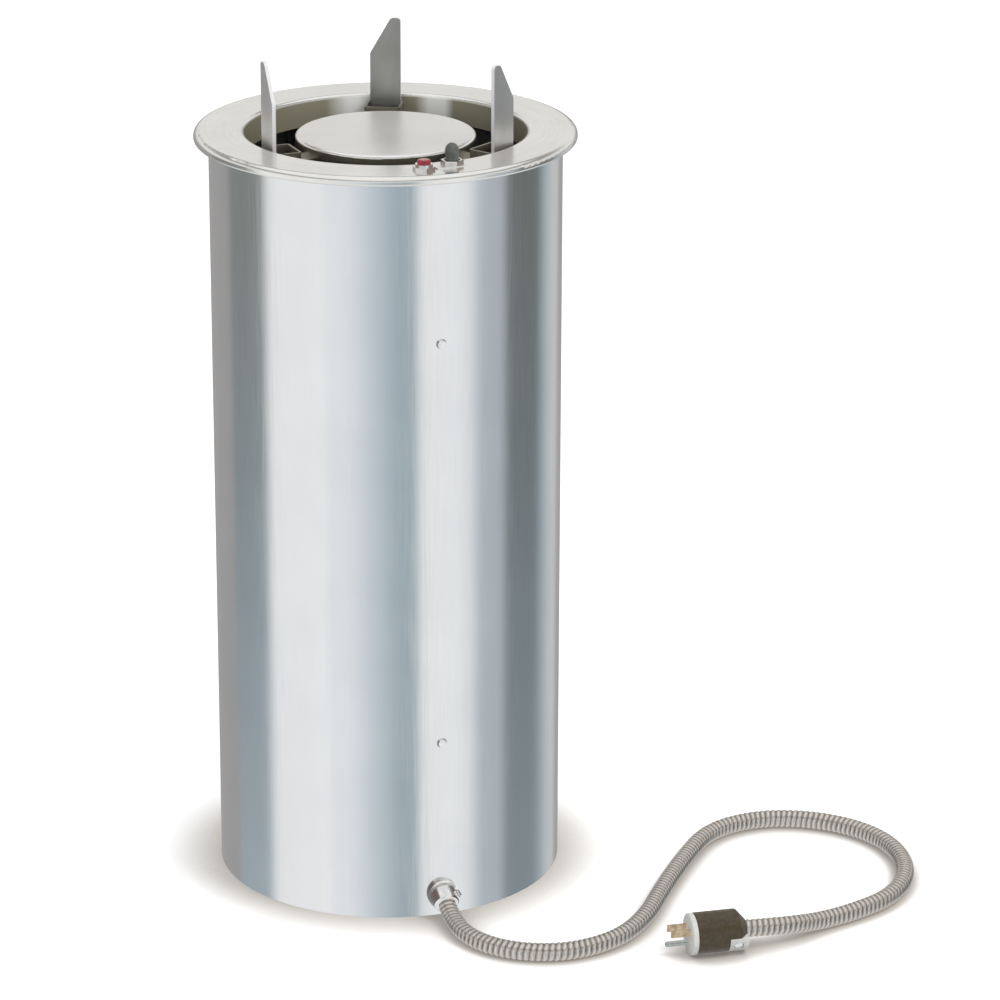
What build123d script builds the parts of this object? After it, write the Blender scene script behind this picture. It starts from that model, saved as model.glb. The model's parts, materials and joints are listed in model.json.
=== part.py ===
# Drop-in heated plate dispenser: a round sheet-metal well that hangs in a counter cut-out, with a
# sprung carrier that keeps the top plate at counter height and a tubular heater in its foot.
# Millimetres, +Z up. The origin is where the dispenser's axis meets the surface it stands on.

import math
import os

from build123d import *

os.makedirs("parts", exist_ok=True)

# Overall sizes
overall_height = 673.3
shell_radius = 152.4
shell_wall = 1.2
flange_overhang = 12.7
flange_sheet = 1.5
cut_margin = 2.0

# Rim and throat of the top flange
rim_drop = 8.0
rim_return = 5.0
rim_shoulder_radius = 5.0
rim_hem_radius = 2.2
throat_to_liner = 17.2
throat_taper = 1.8
throat_depth = 24.0
throat_lip_radius = 3.5

# Inner well
insulation_space = 13.4
liner_wall = 1.0
well_floor_height = 46.0
well_floor_sheet = 1.2
well_floor_rim = 12.0
well_floor_corner = 3.0
pan_rim = 8.0
pan_corner = 2.5
insulation_gap = 0.2
blanket_top_gap = 2.0
base_insulation_thickness = 10.0
base_insulation_inset = 7.0

# Guide posts, three flat bars round the plates
post_count = 3
first_post_angle = 91.45
post_inset = 25.0
post_twist = 8.24
post_width = 27.0
post_thickness = 3.2
post_rise = 70.0
post_slope_rise = 38.0
post_tip_width = 8.5
post_tip_outer_radius = 3.0
post_tip_inner_radius = 5.0
post_shoulder_radius = 7.0

# Brackets between posts and liner
lowest_bracket = 62.0
top_bracket_drop = 49.3
bracket_height = 30.0
bracket_sheet = 2.5
bracket_half_width = 11.0
bracket_foot_half_width = 21.0
post_screw_radius = 2.5
post_nut_radius = 4.6
post_nut_height = 3.0
strap_overrun = 6.0

# Carrier
platform_to_posts = 36.0
platform_drop = 4.5
platform_sheet = 1.5
platform_skirt = 10.0
platform_edge_radius = 3.0
carrier_length = 168.0
carrier_sheet = 2.0
carrier_plate_gap = 4.5
carrier_plate_bore = 58.0
carrier_collar_height = 8.0
carrier_window_radius = 15.0
carrier_window_inset = 42.5
window_angles = (30.0, 60.0, 90.0)
channel_top_drop = 5.0
channel_depth = 24.0
channel_side_gap = 0.5
channel_overlap = 1.0
channel_corner_radius = 3.0
arm_width = 22.0
arm_sheet = 2.5
arm_lip = 8.0
arm_hub_radius = 30.0
arm_hub_bore = 12.0
boss_radius = 16.0
boss_wall = 2.0
glide_height = 30.0
glide_thickness = 6.0
glide_gap = 0.3
glide_inset = 3.0

# Lift springs, three clusters between the posts
spring_angle_offset = 30.0
spring_circle_inset = 11.0
springs_per_cluster = 3
spring_pitch = 13.0
spring_radius = 5.5
spring_clearance = 0.3
hook_hole_radius = 2.2
hook_reach = 4.0
hanger_width = 46.0
hanger_foot = 24.0
hanger_sheet = 2.5
hanger_clearance = 1.5
hanger_depth = 21.0

# Stops for the carrier
stop_angle_offset = 90.0
stop_circle_inset = 12.0
stop_gap = 0.3
up_stop_width = 24.0
up_stop_foot = 22.0
up_bumper_height = 12.0
bumper_radius = 6.5
bumper_taper = 8.0
bumper_edge_radius = 2.5
down_leg_radius = 4.0
down_leg_length = 58.0
down_bumper_height = 14.0

# Tubular heater in the foot of the well
heater_inset = 19.0
heater_tube_radius = 4.0
heater_height = 64.0
heater_gap_angle = 31.0
heater_gap_centre = -71.0
heater_bend = 12.0
heater_leg_end = 24.0
heater_clip_width = 14.0
heater_clip_sheet = 2.0
clip_angle_offset = 30.0
fitting_radius = 8.0
fitting_height = 6.0
terminal_radius = 2.0
terminal_length = 10.0
terminal_nut_radius = 4.0
terminal_nut_height = 2.0

# Thermostats under the well floor
thermostat_radius = 13.0
thermostat_height = 12.0
thermostat_circle_radius = 55.0
thermostat_spread = 20.0
high_limit_radius = 9.5
high_limit_height = 10.0
control_edge_radius = 1.5
tab_width = 6.3
tab_thickness = 0.8
tab_length = 8.0
cutout_start = 34.0
cutout_margin = 12.0

# Electrics on the front seam
service_angle = -71.0
junction_width = 56.0
junction_to_shell = 6.4
junction_depth = 40.0
junction_height = 33.0
junction_sheet = 1.2
wire_hole_radius = 5.0
raceway_width = 20.0
raceway_sheet = 1.0
raceway_side_gap = 1.0
lower_screw_height = 162.0
upper_screw_height = 524.0
screw_head_radius = 4.5
screw_head_height = 2.4
screw_head_taper = 20.0
screw_shank_radius = 2.2
screw_shank_length = 7.0

# Control box under the flange
box_start_angle = -88.0
box_sweep = 38.0
box_to_throat = 3.7
box_to_shell = 2.4
box_depth = 38.0
box_sheet = 1.0
box_gap = 0.2
box_gap_angle = 0.2
box_wire_hole_radius = 3.8

# Switch
switch_angle = -64.3
switch_to_throat = 12.8
bushing_radius = 5.9
bushing_bore = 4.2
nut_thread_height = 1.4
switch_body_width = 26.0
switch_body_depth = 14.0
switch_body_height = 22.0
switch_body_drop = 3.0
switch_body_corner = 2.0
legend_length = 27.0
legend_width = 19.0
legend_sheet = 0.8
legend_shift = 4.2
legend_corner = 3.5
nut_across_flats = 17.0
nut_height = 3.6
nut_chamfer = 0.5
back_nut_across_flats = 14.0
nut_bore = 7.1
boot_pivot_rise = 3.2
boot_ball_radius = 6.6
boot_base_rise = 0.8
boot_neck_radius = 5.3
boot_height = 15.5
lever_head = 8.0
lever_radius = 1.8
lever_tail = 6.5

# Pilot light
pilot_spacing = 27.5
pilot_to_throat = 18.9
pilot_body_radius = 5.5
pilot_body_depth = 24.0
bezel_across_flats = 17.0
bezel_height = 2.6
bezel_collar_radius = 7.4
bezel_collar_height = 2.2
lens_radius = 5.7
lens_height = 8.4
lens_edge_radius = 2.0

# Conduit connector
connector_height = 20.0
connector_ring_radius = 13.5
connector_ring_thickness = 4.0
connector_thread_radius = 10.5
connector_thread_reach = 6.0
connector_barrel_radius = 11.3
connector_barrel_length = 12.5
connector_chamfer = 1.0
connector_screw_angle = 35.0
connector_screw_back = 7.6
connector_lug_radius = 4.0
connector_lug_height = 3.0
connector_screw_radius = 3.0
connector_screw_height = 1.8
connector_droop = 26.0
locknut_radius = 13.0
locknut_thickness = 3.5

# Flexible conduit: its route along the floor, from the connector to the plug
conduit_radius = 7.9
conduit_arc_share = 0.45
conduit_points = [
    (58.3, -169.3, 8), (70, -204, 8), (95, -229, 8), (129, -240, 8), (166, -236, 8), (204, -210, 8),
    (228, -166, 8), (244, -107, 8), (266, -39, 8), (290, 20, 8), (336, 50, 8), (388, 49, 8),
    (434, 23, 8), (460, -19, 8), (465, -72, 8), (447, -121, 8), (412, -153, 8), (379, -174, 8),
    (344.4, -204.2, 17.4),
]

# Plug
plug_back = (311.4, -212.4, 18.4)
plug_heading = 194.0
plug_radius = 18.4
plug_length = 46.0
plug_core_radius = 9.0
plug_shoulder_length = 8.0
plug_heel_radius = 1.2
plug_shoulder_radius = 2.5
plug_front_radius = 0.8
plug_face_thickness = 4.5
plug_face_radius = 18.3
plug_face_chamfer = 0.8
blade_length = 17.5
blade_height = 6.35
blade_thickness = 1.5
blade_spacing = 12.7
blade_row_rise = 4.45
blade_chamfer = 0.5
ground_radius = 2.4
ground_length = 20.6
ground_drop = 11.9
ground_tip_radius = 1.9
clamp_radius = 18.1
clamp_length = 17.7
clamp_setback = 0.8
clamp_part_gap = 0.3
clamp_screw_angle = 28.0
clamp_screw_back = 9.5
clamp_pocket_radius = 4.6
clamp_pocket_floor = 14.6
clamp_screw_radius = 3.7
clamp_screw_height = 2.2
slot_width = 1.1
slot_depth = 1.0

# Radii that follow, from the shell inwards
shell_inner = shell_radius - shell_wall
flange_radius = shell_radius + flange_overhang
liner_radius = shell_radius - insulation_space
liner_inner = liner_radius - liner_wall
throat_top_radius = liner_radius - throat_to_liner
throat_foot_radius = throat_top_radius - throat_taper
base_insulation_radius = liner_radius - base_insulation_inset
carrier_plate_radius = liner_radius - carrier_plate_gap
carrier_window_circle = carrier_plate_radius - carrier_window_inset
spring_circle_radius = liner_radius - spring_circle_inset
stop_circle_radius = liner_radius - stop_circle_inset
hanger_inner_edge = liner_radius - hanger_depth
post_circle_radius = liner_radius - post_inset
heater_ring_radius = post_circle_radius - heater_inset
platform_radius = post_circle_radius - platform_to_posts
junction_outer_face = shell_radius - junction_to_shell
connector_thread_end = junction_outer_face - connector_thread_reach
box_inner_radius = throat_top_radius + box_to_throat
box_outer_radius = shell_radius - box_to_shell
switch_radius = throat_top_radius + switch_to_throat
pilot_radius = throat_top_radius + pilot_to_throat
pilot_angle = switch_angle - math.degrees(pilot_spacing / pilot_radius)

# Heights that follow
flange_underside = overall_height - flange_sheet
well_floor_underside = well_floor_height - well_floor_sheet
post_top = overall_height + post_rise
platform_top = overall_height - platform_drop
platform_underside = platform_top - platform_sheet
skirt_foot = platform_top - platform_skirt
channel_top = overall_height - channel_top_drop
plate_top = overall_height - channel_top_drop - carrier_length
plate_underside = plate_top - carrier_sheet
channel_half = post_width / 2 + channel_side_gap
throat_foot_height = overall_height - throat_depth
hanger_shelf = throat_foot_height - hanger_clearance - hanger_sheet
spring_length = hanger_shelf - plate_top
highest_bracket = throat_foot_height - top_bracket_drop
bracket_levels = (lowest_bracket, (lowest_bracket + highest_bracket) / 2, highest_bracket)
screw_heights = (lower_screw_height, upper_screw_height)


def keep(piece, name):
    """Label a finished piece and write it to a STEP file of that name."""
    piece.part.label = name
    export_step(piece.part, f"parts/{name}.step")


def level(height, angle=0.0):
    """Level plane on the axis whose X points out at an angle."""
    return Plane(Location((0, 0, height), (0, 0, angle)))


def spot(radius, angle, height):
    """Level plane at a radius and angle, with X outwards and Y counter-clockwise."""
    centre = Vector(radius, 0, 0).rotate(Axis.Z, angle)
    return Plane(Location((centre.X, centre.Y, height), (0, 0, angle)))


def facing_out(radius, angle, height):
    """Upright plane that faces out along a radius, with Y up."""
    out = Vector(1, 0, 0).rotate(Axis.Z, angle)
    return Plane(origin=out * radius + Vector(0, 0, height), x_dir=out.rotate(Axis.Z, 90), z_dir=out)


def post_level(height):
    """Level plane on the post at angle zero: X along the bar's width, Y out through its face."""
    width_way = Vector(1, 0, 0).rotate(Axis.Z, -90 - post_twist)
    return Plane(origin=(post_circle_radius, 0, height), x_dir=width_way, z_dir=(0, 0, 1))


def post_face(height):
    """Upright plane on the post at angle zero that faces out, with X along the bar's width."""
    flat = post_level(height)
    return Plane(origin=flat.origin, x_dir=flat.x_dir, z_dir=flat.y_dir)


def annular_sector(inner, outer, start, sweep, mode=Mode.ADD):
    """Ring segment between two radii in the sketch that is open."""
    with BuildLine() as outline:
        outer_arc = CenterArc((0, 0), outer, start, sweep)
        inner_arc = CenterArc((0, 0), inner, start, sweep)
        Line(outer_arc @ 0, inner_arc @ 0)
        Line(outer_arc @ 1, inner_arc @ 1)
    make_face(outline.line.edges(), mode=mode)


def round_the_posts(blank, offset=0.0):
    """Copies of a piece made at angle zero, one for each post."""
    with BuildPart() as group:
        with PolarLocations(0, post_count, start_angle=first_post_angle + offset):
            add(blank.part)
    return group


# Outer shell: a rolled cylinder with the screw holes and the conduit hole on its service line
with BuildPart() as outer_shell:
    with BuildSketch(level(0)):
        Circle(shell_radius)
        Circle(shell_inner, mode=Mode.SUBTRACT)
    extrude(amount=flange_underside)
    for screw_height in screw_heights:
        with BuildSketch(facing_out(shell_radius + cut_margin, service_angle, screw_height)):
            Circle(screw_shank_radius)
        extrude(amount=-shell_wall - 2 * cut_margin, mode=Mode.SUBTRACT)
    with BuildSketch(facing_out(shell_radius + cut_margin, service_angle, connector_height)):
        Circle(connector_thread_radius)
    extrude(amount=-shell_wall - 2 * cut_margin, mode=Mode.SUBTRACT)
keep(outer_shell, "outer_shell")

# Bottom pan: a shallow dish spot-welded inside the foot of the shell
with BuildPart() as bottom_pan:
    with BuildSketch(Plane.XZ):
        with BuildLine():
            pan_line = FilletPolyline((0, 0), (shell_inner, 0), (shell_inner, pan_rim), radius=pan_corner)
            offset(pan_line, amount=shell_wall, side=Side.LEFT, closed=True)
        make_face()
    revolve(axis=Axis.Z)
keep(bottom_pan, "bottom_pan")

# Top flange: one spinning with a rolled rim, a flat top and a throat round the plates
rim_foot = overall_height - rim_drop
with BuildPart() as top_flange:
    with BuildSketch(Plane.XZ):
        with BuildLine():
            flange_line = FilletPolyline(
                (flange_radius - rim_return, rim_foot),
                (flange_radius, rim_foot),
                (flange_radius, overall_height),
                (throat_top_radius, overall_height),
                (throat_foot_radius, throat_foot_height),
                radius=[rim_hem_radius, rim_shoulder_radius, throat_lip_radius],
            )
            offset(flange_line, amount=flange_sheet, side=Side.LEFT, closed=True)
        make_face()
    revolve(axis=Axis.Z)
    with BuildSketch(spot(switch_radius, switch_angle, flange_underside - cut_margin)):
        Circle(bushing_radius)
    extrude(amount=flange_sheet + 2 * cut_margin, mode=Mode.SUBTRACT)
    with BuildSketch(spot(pilot_radius, pilot_angle, flange_underside - cut_margin)):
        Circle(pilot_body_radius)
    extrude(amount=flange_sheet + 2 * cut_margin, mode=Mode.SUBTRACT)
keep(top_flange, "top_flange")

# Well liner: the inner cylinder, notched at its top for the control box
with BuildPart() as well_liner:
    with BuildSketch(level(well_floor_underside)):
        Circle(liner_radius)
        Circle(liner_inner, mode=Mode.SUBTRACT)
    extrude(amount=flange_underside - well_floor_underside)
    with BuildSketch(level(flange_underside)):
        annular_sector(
            liner_inner - cut_margin,
            liner_radius + cut_margin,
            box_start_angle - box_gap_angle,
            box_sweep + 2 * box_gap_angle,
        )
    extrude(amount=-box_depth - box_gap, mode=Mode.SUBTRACT)
keep(well_liner, "well_liner")

# Heater's two ends: the angle where each leaves the ring, and the way it turns into the gap
heater_ends = (
    (heater_gap_centre - heater_gap_angle / 2, 1),
    (heater_gap_centre + heater_gap_angle / 2, -1),
)


def heater_end_point(end_angle):
    """Where the ring's centre line stops."""
    return Vector(heater_ring_radius, 0, heater_height).rotate(Axis.Z, end_angle)


def heater_end_way(end_angle, turn):
    """Unit vector along the tube as it leaves the ring."""
    return Vector(0, turn, 0).rotate(Axis.Z, end_angle)


def heater_leg_top(end_angle, turn):
    """Where a leg starts straight down."""
    bend_end = heater_end_way(end_angle, turn) - Vector(0, 0, 1)
    return heater_end_point(end_angle) + bend_end * heater_bend


# Well floor: a dish riveted into the liner, with holes for the heater's two legs
with BuildPart() as well_floor:
    with BuildSketch(Plane.XZ):
        with BuildLine():
            floor_line = FilletPolyline(
                (0, well_floor_underside),
                (liner_inner, well_floor_underside),
                (liner_inner, well_floor_underside + well_floor_rim),
                radius=well_floor_corner,
            )
            offset(floor_line, amount=well_floor_sheet, side=Side.LEFT, closed=True)
        make_face()
    revolve(axis=Axis.Z)
    for end_angle, turn in heater_ends:
        leg = heater_leg_top(end_angle, turn)
        with BuildSketch(Plane(origin=(leg.X, leg.Y, well_floor_height + cut_margin))):
            Circle(heater_tube_radius)
        extrude(amount=-well_floor_sheet - 2 * cut_margin, mode=Mode.SUBTRACT)
keep(well_floor, "well_floor")

# Insulation blanket between liner and shell, parted for the wire raceway and the control box
raceway_half_sweep = math.degrees((raceway_width / 2 + raceway_side_gap) / shell_inner)
blanket_foot = well_floor_underside
blanket_top = flange_underside - box_depth - blanket_top_gap
with BuildPart() as insulation_blanket:
    with BuildSketch(level(blanket_foot)):
        annular_sector(
            liner_radius + insulation_gap,
            shell_inner - insulation_gap,
            service_angle + raceway_half_sweep,
            360 - 2 * raceway_half_sweep,
        )
    extrude(amount=blanket_top - blanket_foot)
keep(insulation_blanket, "insulation_blanket")

# Base insulation under the well floor, cut back round the junction box and the heater's ends
with BuildPart() as base_insulation:
    with BuildSketch(level(well_floor_underside - base_insulation_thickness, service_angle)):
        Circle(base_insulation_radius)
        with Locations((cutout_start, 0)):
            Rectangle(
                base_insulation_radius,
                junction_width + 2 * cutout_margin,
                align=(Align.MIN, Align.CENTER),
                mode=Mode.SUBTRACT,
            )
    extrude(amount=base_insulation_thickness)
keep(base_insulation, "base_insulation")

# Guide posts: flat bars whose tips are cut on a slope so that plates slide in between them
post_foot = well_floor_height
with BuildPart() as post_blank:
    bar_face = Plane(
        origin=post_level(0).origin,
        x_dir=post_level(0).x_dir,
        z_dir=-post_level(0).y_dir,
    )
    with BuildSketch(bar_face):
        with BuildLine():
            Polyline(
                (-post_width / 2, post_foot),
                (post_width / 2, post_foot),
                (post_width / 2, post_top),
                (post_width / 2 - post_tip_width, post_top),
                (-post_width / 2, overall_height + post_slope_rise),
                close=True,
            )
        make_face()
        corners = vertices().sort_by(Axis.Y)
        fillet(corners[2], radius=post_shoulder_radius)
        top_corners = vertices().sort_by(Axis.Y)[-2:].sort_by(Axis.X)
        fillet(top_corners[0], radius=post_tip_inner_radius)
        outer_corner = vertices().sort_by(Axis.X)[-2:].sort_by(Axis.Y)[-1]
        fillet(outer_corner, radius=post_tip_outer_radius)
    extrude(amount=post_thickness / 2, both=True)
    for bracket_level in bracket_levels:
        with BuildSketch(bar_face.offset(post_thickness)):
            with Locations((0, bracket_level + bracket_height / 2)):
                Circle(post_screw_radius)
        extrude(amount=-2 * post_thickness, mode=Mode.SUBTRACT)

for post_name, post_turn in (("rear", 0), ("left", 1), ("right", 2)):
    with BuildPart() as guide_post:
        with Locations(Location((0, 0, 0), (0, 0, first_post_angle + post_turn * 360 / post_count))):
            add(post_blank.part)
    keep(guide_post, f"guide_post_{post_name}")

# Post brackets: bent straps that hold each bar off the liner at three levels
post_outer_face = post_thickness / 2
axis_from_post = post_level(0).to_local_coords(Vector(0, 0, 0))
strap_reach = liner_inner - post_circle_radius + strap_overrun
with BuildPart() as bracket_blank:
    for bracket_level in bracket_levels:
        with BuildSketch(post_level(bracket_level)):
            with Locations((0, post_outer_face + bracket_sheet / 2)):
                Rectangle(2 * bracket_half_width, bracket_sheet)
            for side in (-1, 1):
                with Locations((side * (bracket_half_width - bracket_sheet / 2), post_outer_face)):
                    Rectangle(bracket_sheet, strap_reach, align=(Align.CENTER, Align.MIN))
        extrude(amount=bracket_height)
    with BuildSketch(level(0)):
        Circle(liner_inner)
    extrude(amount=overall_height, mode=Mode.INTERSECT)
    for bracket_level in bracket_levels:
        with BuildSketch(post_level(bracket_level)):
            with Locations((axis_from_post.X, axis_from_post.Y)):
                Circle(liner_inner)
                Circle(liner_inner - bracket_sheet, mode=Mode.SUBTRACT)
            with Locations((0, strap_reach)):
                Rectangle(2 * bracket_foot_half_width, strap_reach, mode=Mode.INTERSECT)
                Rectangle(2 * (bracket_half_width - bracket_sheet), 2 * strap_reach, mode=Mode.SUBTRACT)
        extrude(amount=bracket_height)
        with BuildSketch(post_face(bracket_level + bracket_height / 2)):
            Circle(post_screw_radius)
        extrude(amount=strap_reach / 2, mode=Mode.SUBTRACT)
post_brackets = round_the_posts(bracket_blank)
keep(post_brackets, "post_brackets")

# Post screws: flush on the bar's inner face, with a nut behind the bracket
with BuildPart() as screw_blank:
    for bracket_level in bracket_levels:
        screw_plane = post_face(bracket_level + bracket_height / 2)
        with BuildSketch(screw_plane.offset(-post_thickness / 2)):
            Circle(post_screw_radius)
        extrude(amount=post_thickness + bracket_sheet + post_nut_height)
        with BuildSketch(screw_plane.offset(post_outer_face + bracket_sheet)):
            RegularPolygon(post_nut_radius, 6)
        extrude(amount=post_nut_height)
post_screws = round_the_posts(screw_blank)
keep(post_screws, "post_screws")

# Spring hangers: brackets under the throat, each with a shelf that three springs hook through
hook_places = [
    (spring_circle_radius, (index - (springs_per_cluster - 1) / 2) * spring_pitch)
    for index in range(springs_per_cluster)
]
with BuildPart() as hanger_blank:
    with BuildSketch(level(hanger_shelf)):
        Circle(liner_inner)
        with Locations((hanger_inner_edge, 0)):
            Rectangle(liner_inner, hanger_width, align=(Align.MIN, Align.CENTER), mode=Mode.INTERSECT)
        with Locations(hook_places):
            Circle(hook_hole_radius, mode=Mode.SUBTRACT)
    extrude(amount=hanger_sheet)
    with BuildSketch(level(hanger_shelf - hanger_foot)):
        Circle(liner_inner)
        Circle(liner_inner - hanger_sheet, mode=Mode.SUBTRACT)
        with Locations((liner_inner, 0)):
            Rectangle(liner_inner, hanger_width, mode=Mode.INTERSECT)
    extrude(amount=hanger_foot)
spring_hangers = round_the_posts(hanger_blank, spring_angle_offset)
keep(spring_hangers, "spring_hangers")

# Lift springs: the outer shape of each coil, with a hook at each end
with BuildPart() as spring_blank:
    with BuildSketch(level(plate_top + spring_clearance)):
        with Locations(hook_places):
            Circle(spring_radius)
    extrude(amount=spring_length - spring_clearance)
    for hook_end, hook_way in ((plate_top + spring_clearance, -1), (hanger_shelf, 1)):
        with BuildSketch(level(hook_end)):
            with Locations(hook_places):
                Circle(hook_hole_radius - spring_clearance)
        extrude(amount=hook_way * hook_reach)
lift_springs = round_the_posts(spring_blank, spring_angle_offset)
keep(lift_springs, "lift_springs")

# Up stops: brackets on the liner whose rubber bumpers meet the carrier plate at the top of its travel
up_bumper_foot = plate_top + stop_gap
up_stop_shelf = up_bumper_foot + up_bumper_height
with BuildPart() as up_stop_blank:
    with BuildSketch(level(up_stop_shelf)):
        Circle(liner_inner)
        with Locations((hanger_inner_edge, 0)):
            Rectangle(liner_inner, up_stop_width, align=(Align.MIN, Align.CENTER), mode=Mode.INTERSECT)
    extrude(amount=hanger_sheet)
    with BuildSketch(level(up_stop_shelf)):
        Circle(liner_inner)
        Circle(liner_inner - hanger_sheet, mode=Mode.SUBTRACT)
        with Locations((liner_inner, 0)):
            Rectangle(liner_inner, up_stop_width, mode=Mode.INTERSECT)
    extrude(amount=up_stop_foot)
up_stop_brackets = round_the_posts(up_stop_blank, stop_angle_offset)
keep(up_stop_brackets, "up_stop_brackets")

with BuildPart() as up_bumper_blank:
    with BuildSketch(spot(stop_circle_radius, 0, up_bumper_foot)):
        Circle(bumper_radius)
    extrude(amount=up_bumper_height, taper=-bumper_taper)
up_stop_bumpers = round_the_posts(up_bumper_blank, stop_angle_offset)
keep(up_stop_bumpers, "up_stop_bumpers")

# Down stops: legs on the well floor with rubber bumpers under the carrier plate's lowest place
down_leg_top = well_floor_height + down_leg_length
down_bumper_top = down_leg_top + down_bumper_height
carrier_travel = plate_underside - down_bumper_top - stop_gap
print("carrier travel:", round(carrier_travel, 1))
with BuildPart() as down_leg_blank:
    with BuildSketch(spot(stop_circle_radius, 0, well_floor_height)):
        Circle(down_leg_radius)
    extrude(amount=down_leg_length)
down_stop_legs = round_the_posts(down_leg_blank, stop_angle_offset)
keep(down_stop_legs, "down_stop_legs")

with BuildPart() as down_bumper_blank:
    with BuildSketch(spot(stop_circle_radius, 0, down_leg_top)):
        Circle(bumper_radius)
    extrude(amount=down_bumper_height)
    fillet(down_bumper_blank.faces().sort_by(Axis.Z)[-1].edges(), radius=bumper_edge_radius)
down_stop_bumpers = round_the_posts(down_bumper_blank, stop_angle_offset)
keep(down_stop_bumpers, "down_stop_bumpers")

# Heater: a tubular ring over the well floor whose two ends turn down through it
with BuildPart() as heater_element:
    for end_angle, turn in heater_ends:
        start = heater_end_point(end_angle)
        way = heater_end_way(end_angle, turn)
        leg = heater_leg_top(end_angle, turn)
        with BuildSketch(Plane(origin=start, z_dir=way)):
            Circle(heater_tube_radius)
        bend_axis = Axis(start - Vector(0, 0, heater_bend), way.cross(Vector(0, 0, -1)))
        revolve(axis=bend_axis, revolution_arc=90)
        with BuildSketch(Plane(origin=leg)):
            Circle(heater_tube_radius)
        extrude(amount=heater_leg_end - leg.Z)
    ring_start = heater_ends[1][0]
    with BuildSketch(Plane(origin=heater_end_point(ring_start), z_dir=heater_end_way(ring_start, 1))):
        Circle(heater_tube_radius)
    revolve(axis=Axis.Z, revolution_arc=360 - heater_gap_angle)
keep(heater_element, "heater_element")

# Heater fittings: a collar round each leg where it passes the well floor
with BuildPart() as heater_fittings:
    for end_angle, turn in heater_ends:
        leg = heater_leg_top(end_angle, turn)
        with BuildSketch(Plane(origin=(leg.X, leg.Y, well_floor_underside))):
            RegularPolygon(fitting_radius, 6)
            Circle(heater_tube_radius, mode=Mode.SUBTRACT)
        extrude(amount=-fitting_height)
keep(heater_fittings, "heater_fittings")

# Heater terminals: a threaded stud in the end of each leg
with BuildPart() as heater_terminals:
    for end_angle, turn in heater_ends:
        leg = heater_leg_top(end_angle, turn)
        with BuildSketch(Plane(origin=(leg.X, leg.Y, heater_leg_end))):
            Circle(terminal_radius)
        extrude(amount=-terminal_length)
        with BuildSketch(Plane(origin=(leg.X, leg.Y, heater_leg_end - terminal_length / 2))):
            RegularPolygon(terminal_nut_radius, 6)
        extrude(amount=-terminal_nut_height)
keep(heater_terminals, "heater_terminals")

# Heater clips: bent straps that stand on the well floor and wrap the tube
clip_wrap_radius = heater_tube_radius + heater_clip_sheet
with BuildPart() as clip_blank:
    with BuildSketch(Plane.XZ.offset(-heater_clip_width / 2)):
        with Locations((heater_ring_radius, heater_height)):
            Circle(clip_wrap_radius)
        with Locations((heater_ring_radius, (heater_height + well_floor_height) / 2)):
            Rectangle(heater_clip_sheet, heater_height - well_floor_height)
        with Locations((heater_ring_radius, well_floor_height + heater_clip_sheet / 2)):
            Rectangle(heater_clip_width, heater_clip_sheet)
    extrude(amount=heater_clip_width)
    with BuildSketch(Plane.XZ):
        with Locations((heater_ring_radius, heater_height)):
            Circle(heater_tube_radius)
    revolve(axis=Axis.Z, mode=Mode.SUBTRACT)
heater_clips = round_the_posts(clip_blank, clip_angle_offset)
keep(heater_clips, "heater_clips")

# Thermostat and high limit: disc controls clamped to the underside of the well floor
for control_name, control_radius, control_height, side in (
    ("thermostat", thermostat_radius, thermostat_height, -1),
    ("high_limit", high_limit_radius, high_limit_height, 1),
):
    with BuildPart() as control:
        with BuildSketch(level(well_floor_underside, service_angle)):
            with Locations((thermostat_circle_radius, side * thermostat_spread)):
                Circle(control_radius)
        extrude(amount=-control_height)
        fillet(control.faces().sort_by(Axis.Z)[0].edges(), radius=control_edge_radius)
        with BuildSketch(level(well_floor_underside - control_height, service_angle)):
            for tab_side in (-1, 1):
                tab_x = thermostat_circle_radius + tab_side * control_radius / 2
                with Locations((tab_x, side * thermostat_spread)):
                    Rectangle(tab_thickness, tab_width)
        extrude(amount=-tab_length)
    keep(control, control_name)

# Junction box: the conduit's wires are joined in it, behind the foot of the shell
junction_centre = junction_outer_face - junction_depth / 2
junction_top = shell_wall + junction_height
with BuildPart() as junction_box:
    with BuildSketch(level(shell_wall, service_angle)):
        with Locations((junction_centre, 0)):
            Rectangle(junction_depth, junction_width)
    extrude(amount=junction_height)
    with BuildSketch(level(shell_wall + junction_sheet, service_angle)):
        with Locations((junction_centre, 0)):
            Rectangle(junction_depth - 2 * junction_sheet, junction_width - 2 * junction_sheet)
    extrude(amount=junction_height, mode=Mode.SUBTRACT)
    with BuildSketch(facing_out(junction_outer_face + cut_margin, service_angle, connector_height)):
        Circle(connector_thread_radius)
    extrude(amount=-junction_sheet - 2 * cut_margin, mode=Mode.SUBTRACT)
    with BuildSketch(facing_out(junction_centre, service_angle, connector_height)):
        Circle(wire_hole_radius)
    extrude(amount=-junction_depth, mode=Mode.SUBTRACT)
keep(junction_box, "junction_box")

with BuildPart() as junction_cover:
    with BuildSketch(level(junction_top, service_angle)):
        with Locations((junction_centre, 0)):
            Rectangle(junction_depth, junction_width)
    extrude(amount=junction_sheet)
keep(junction_cover, "junction_cover")

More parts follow.
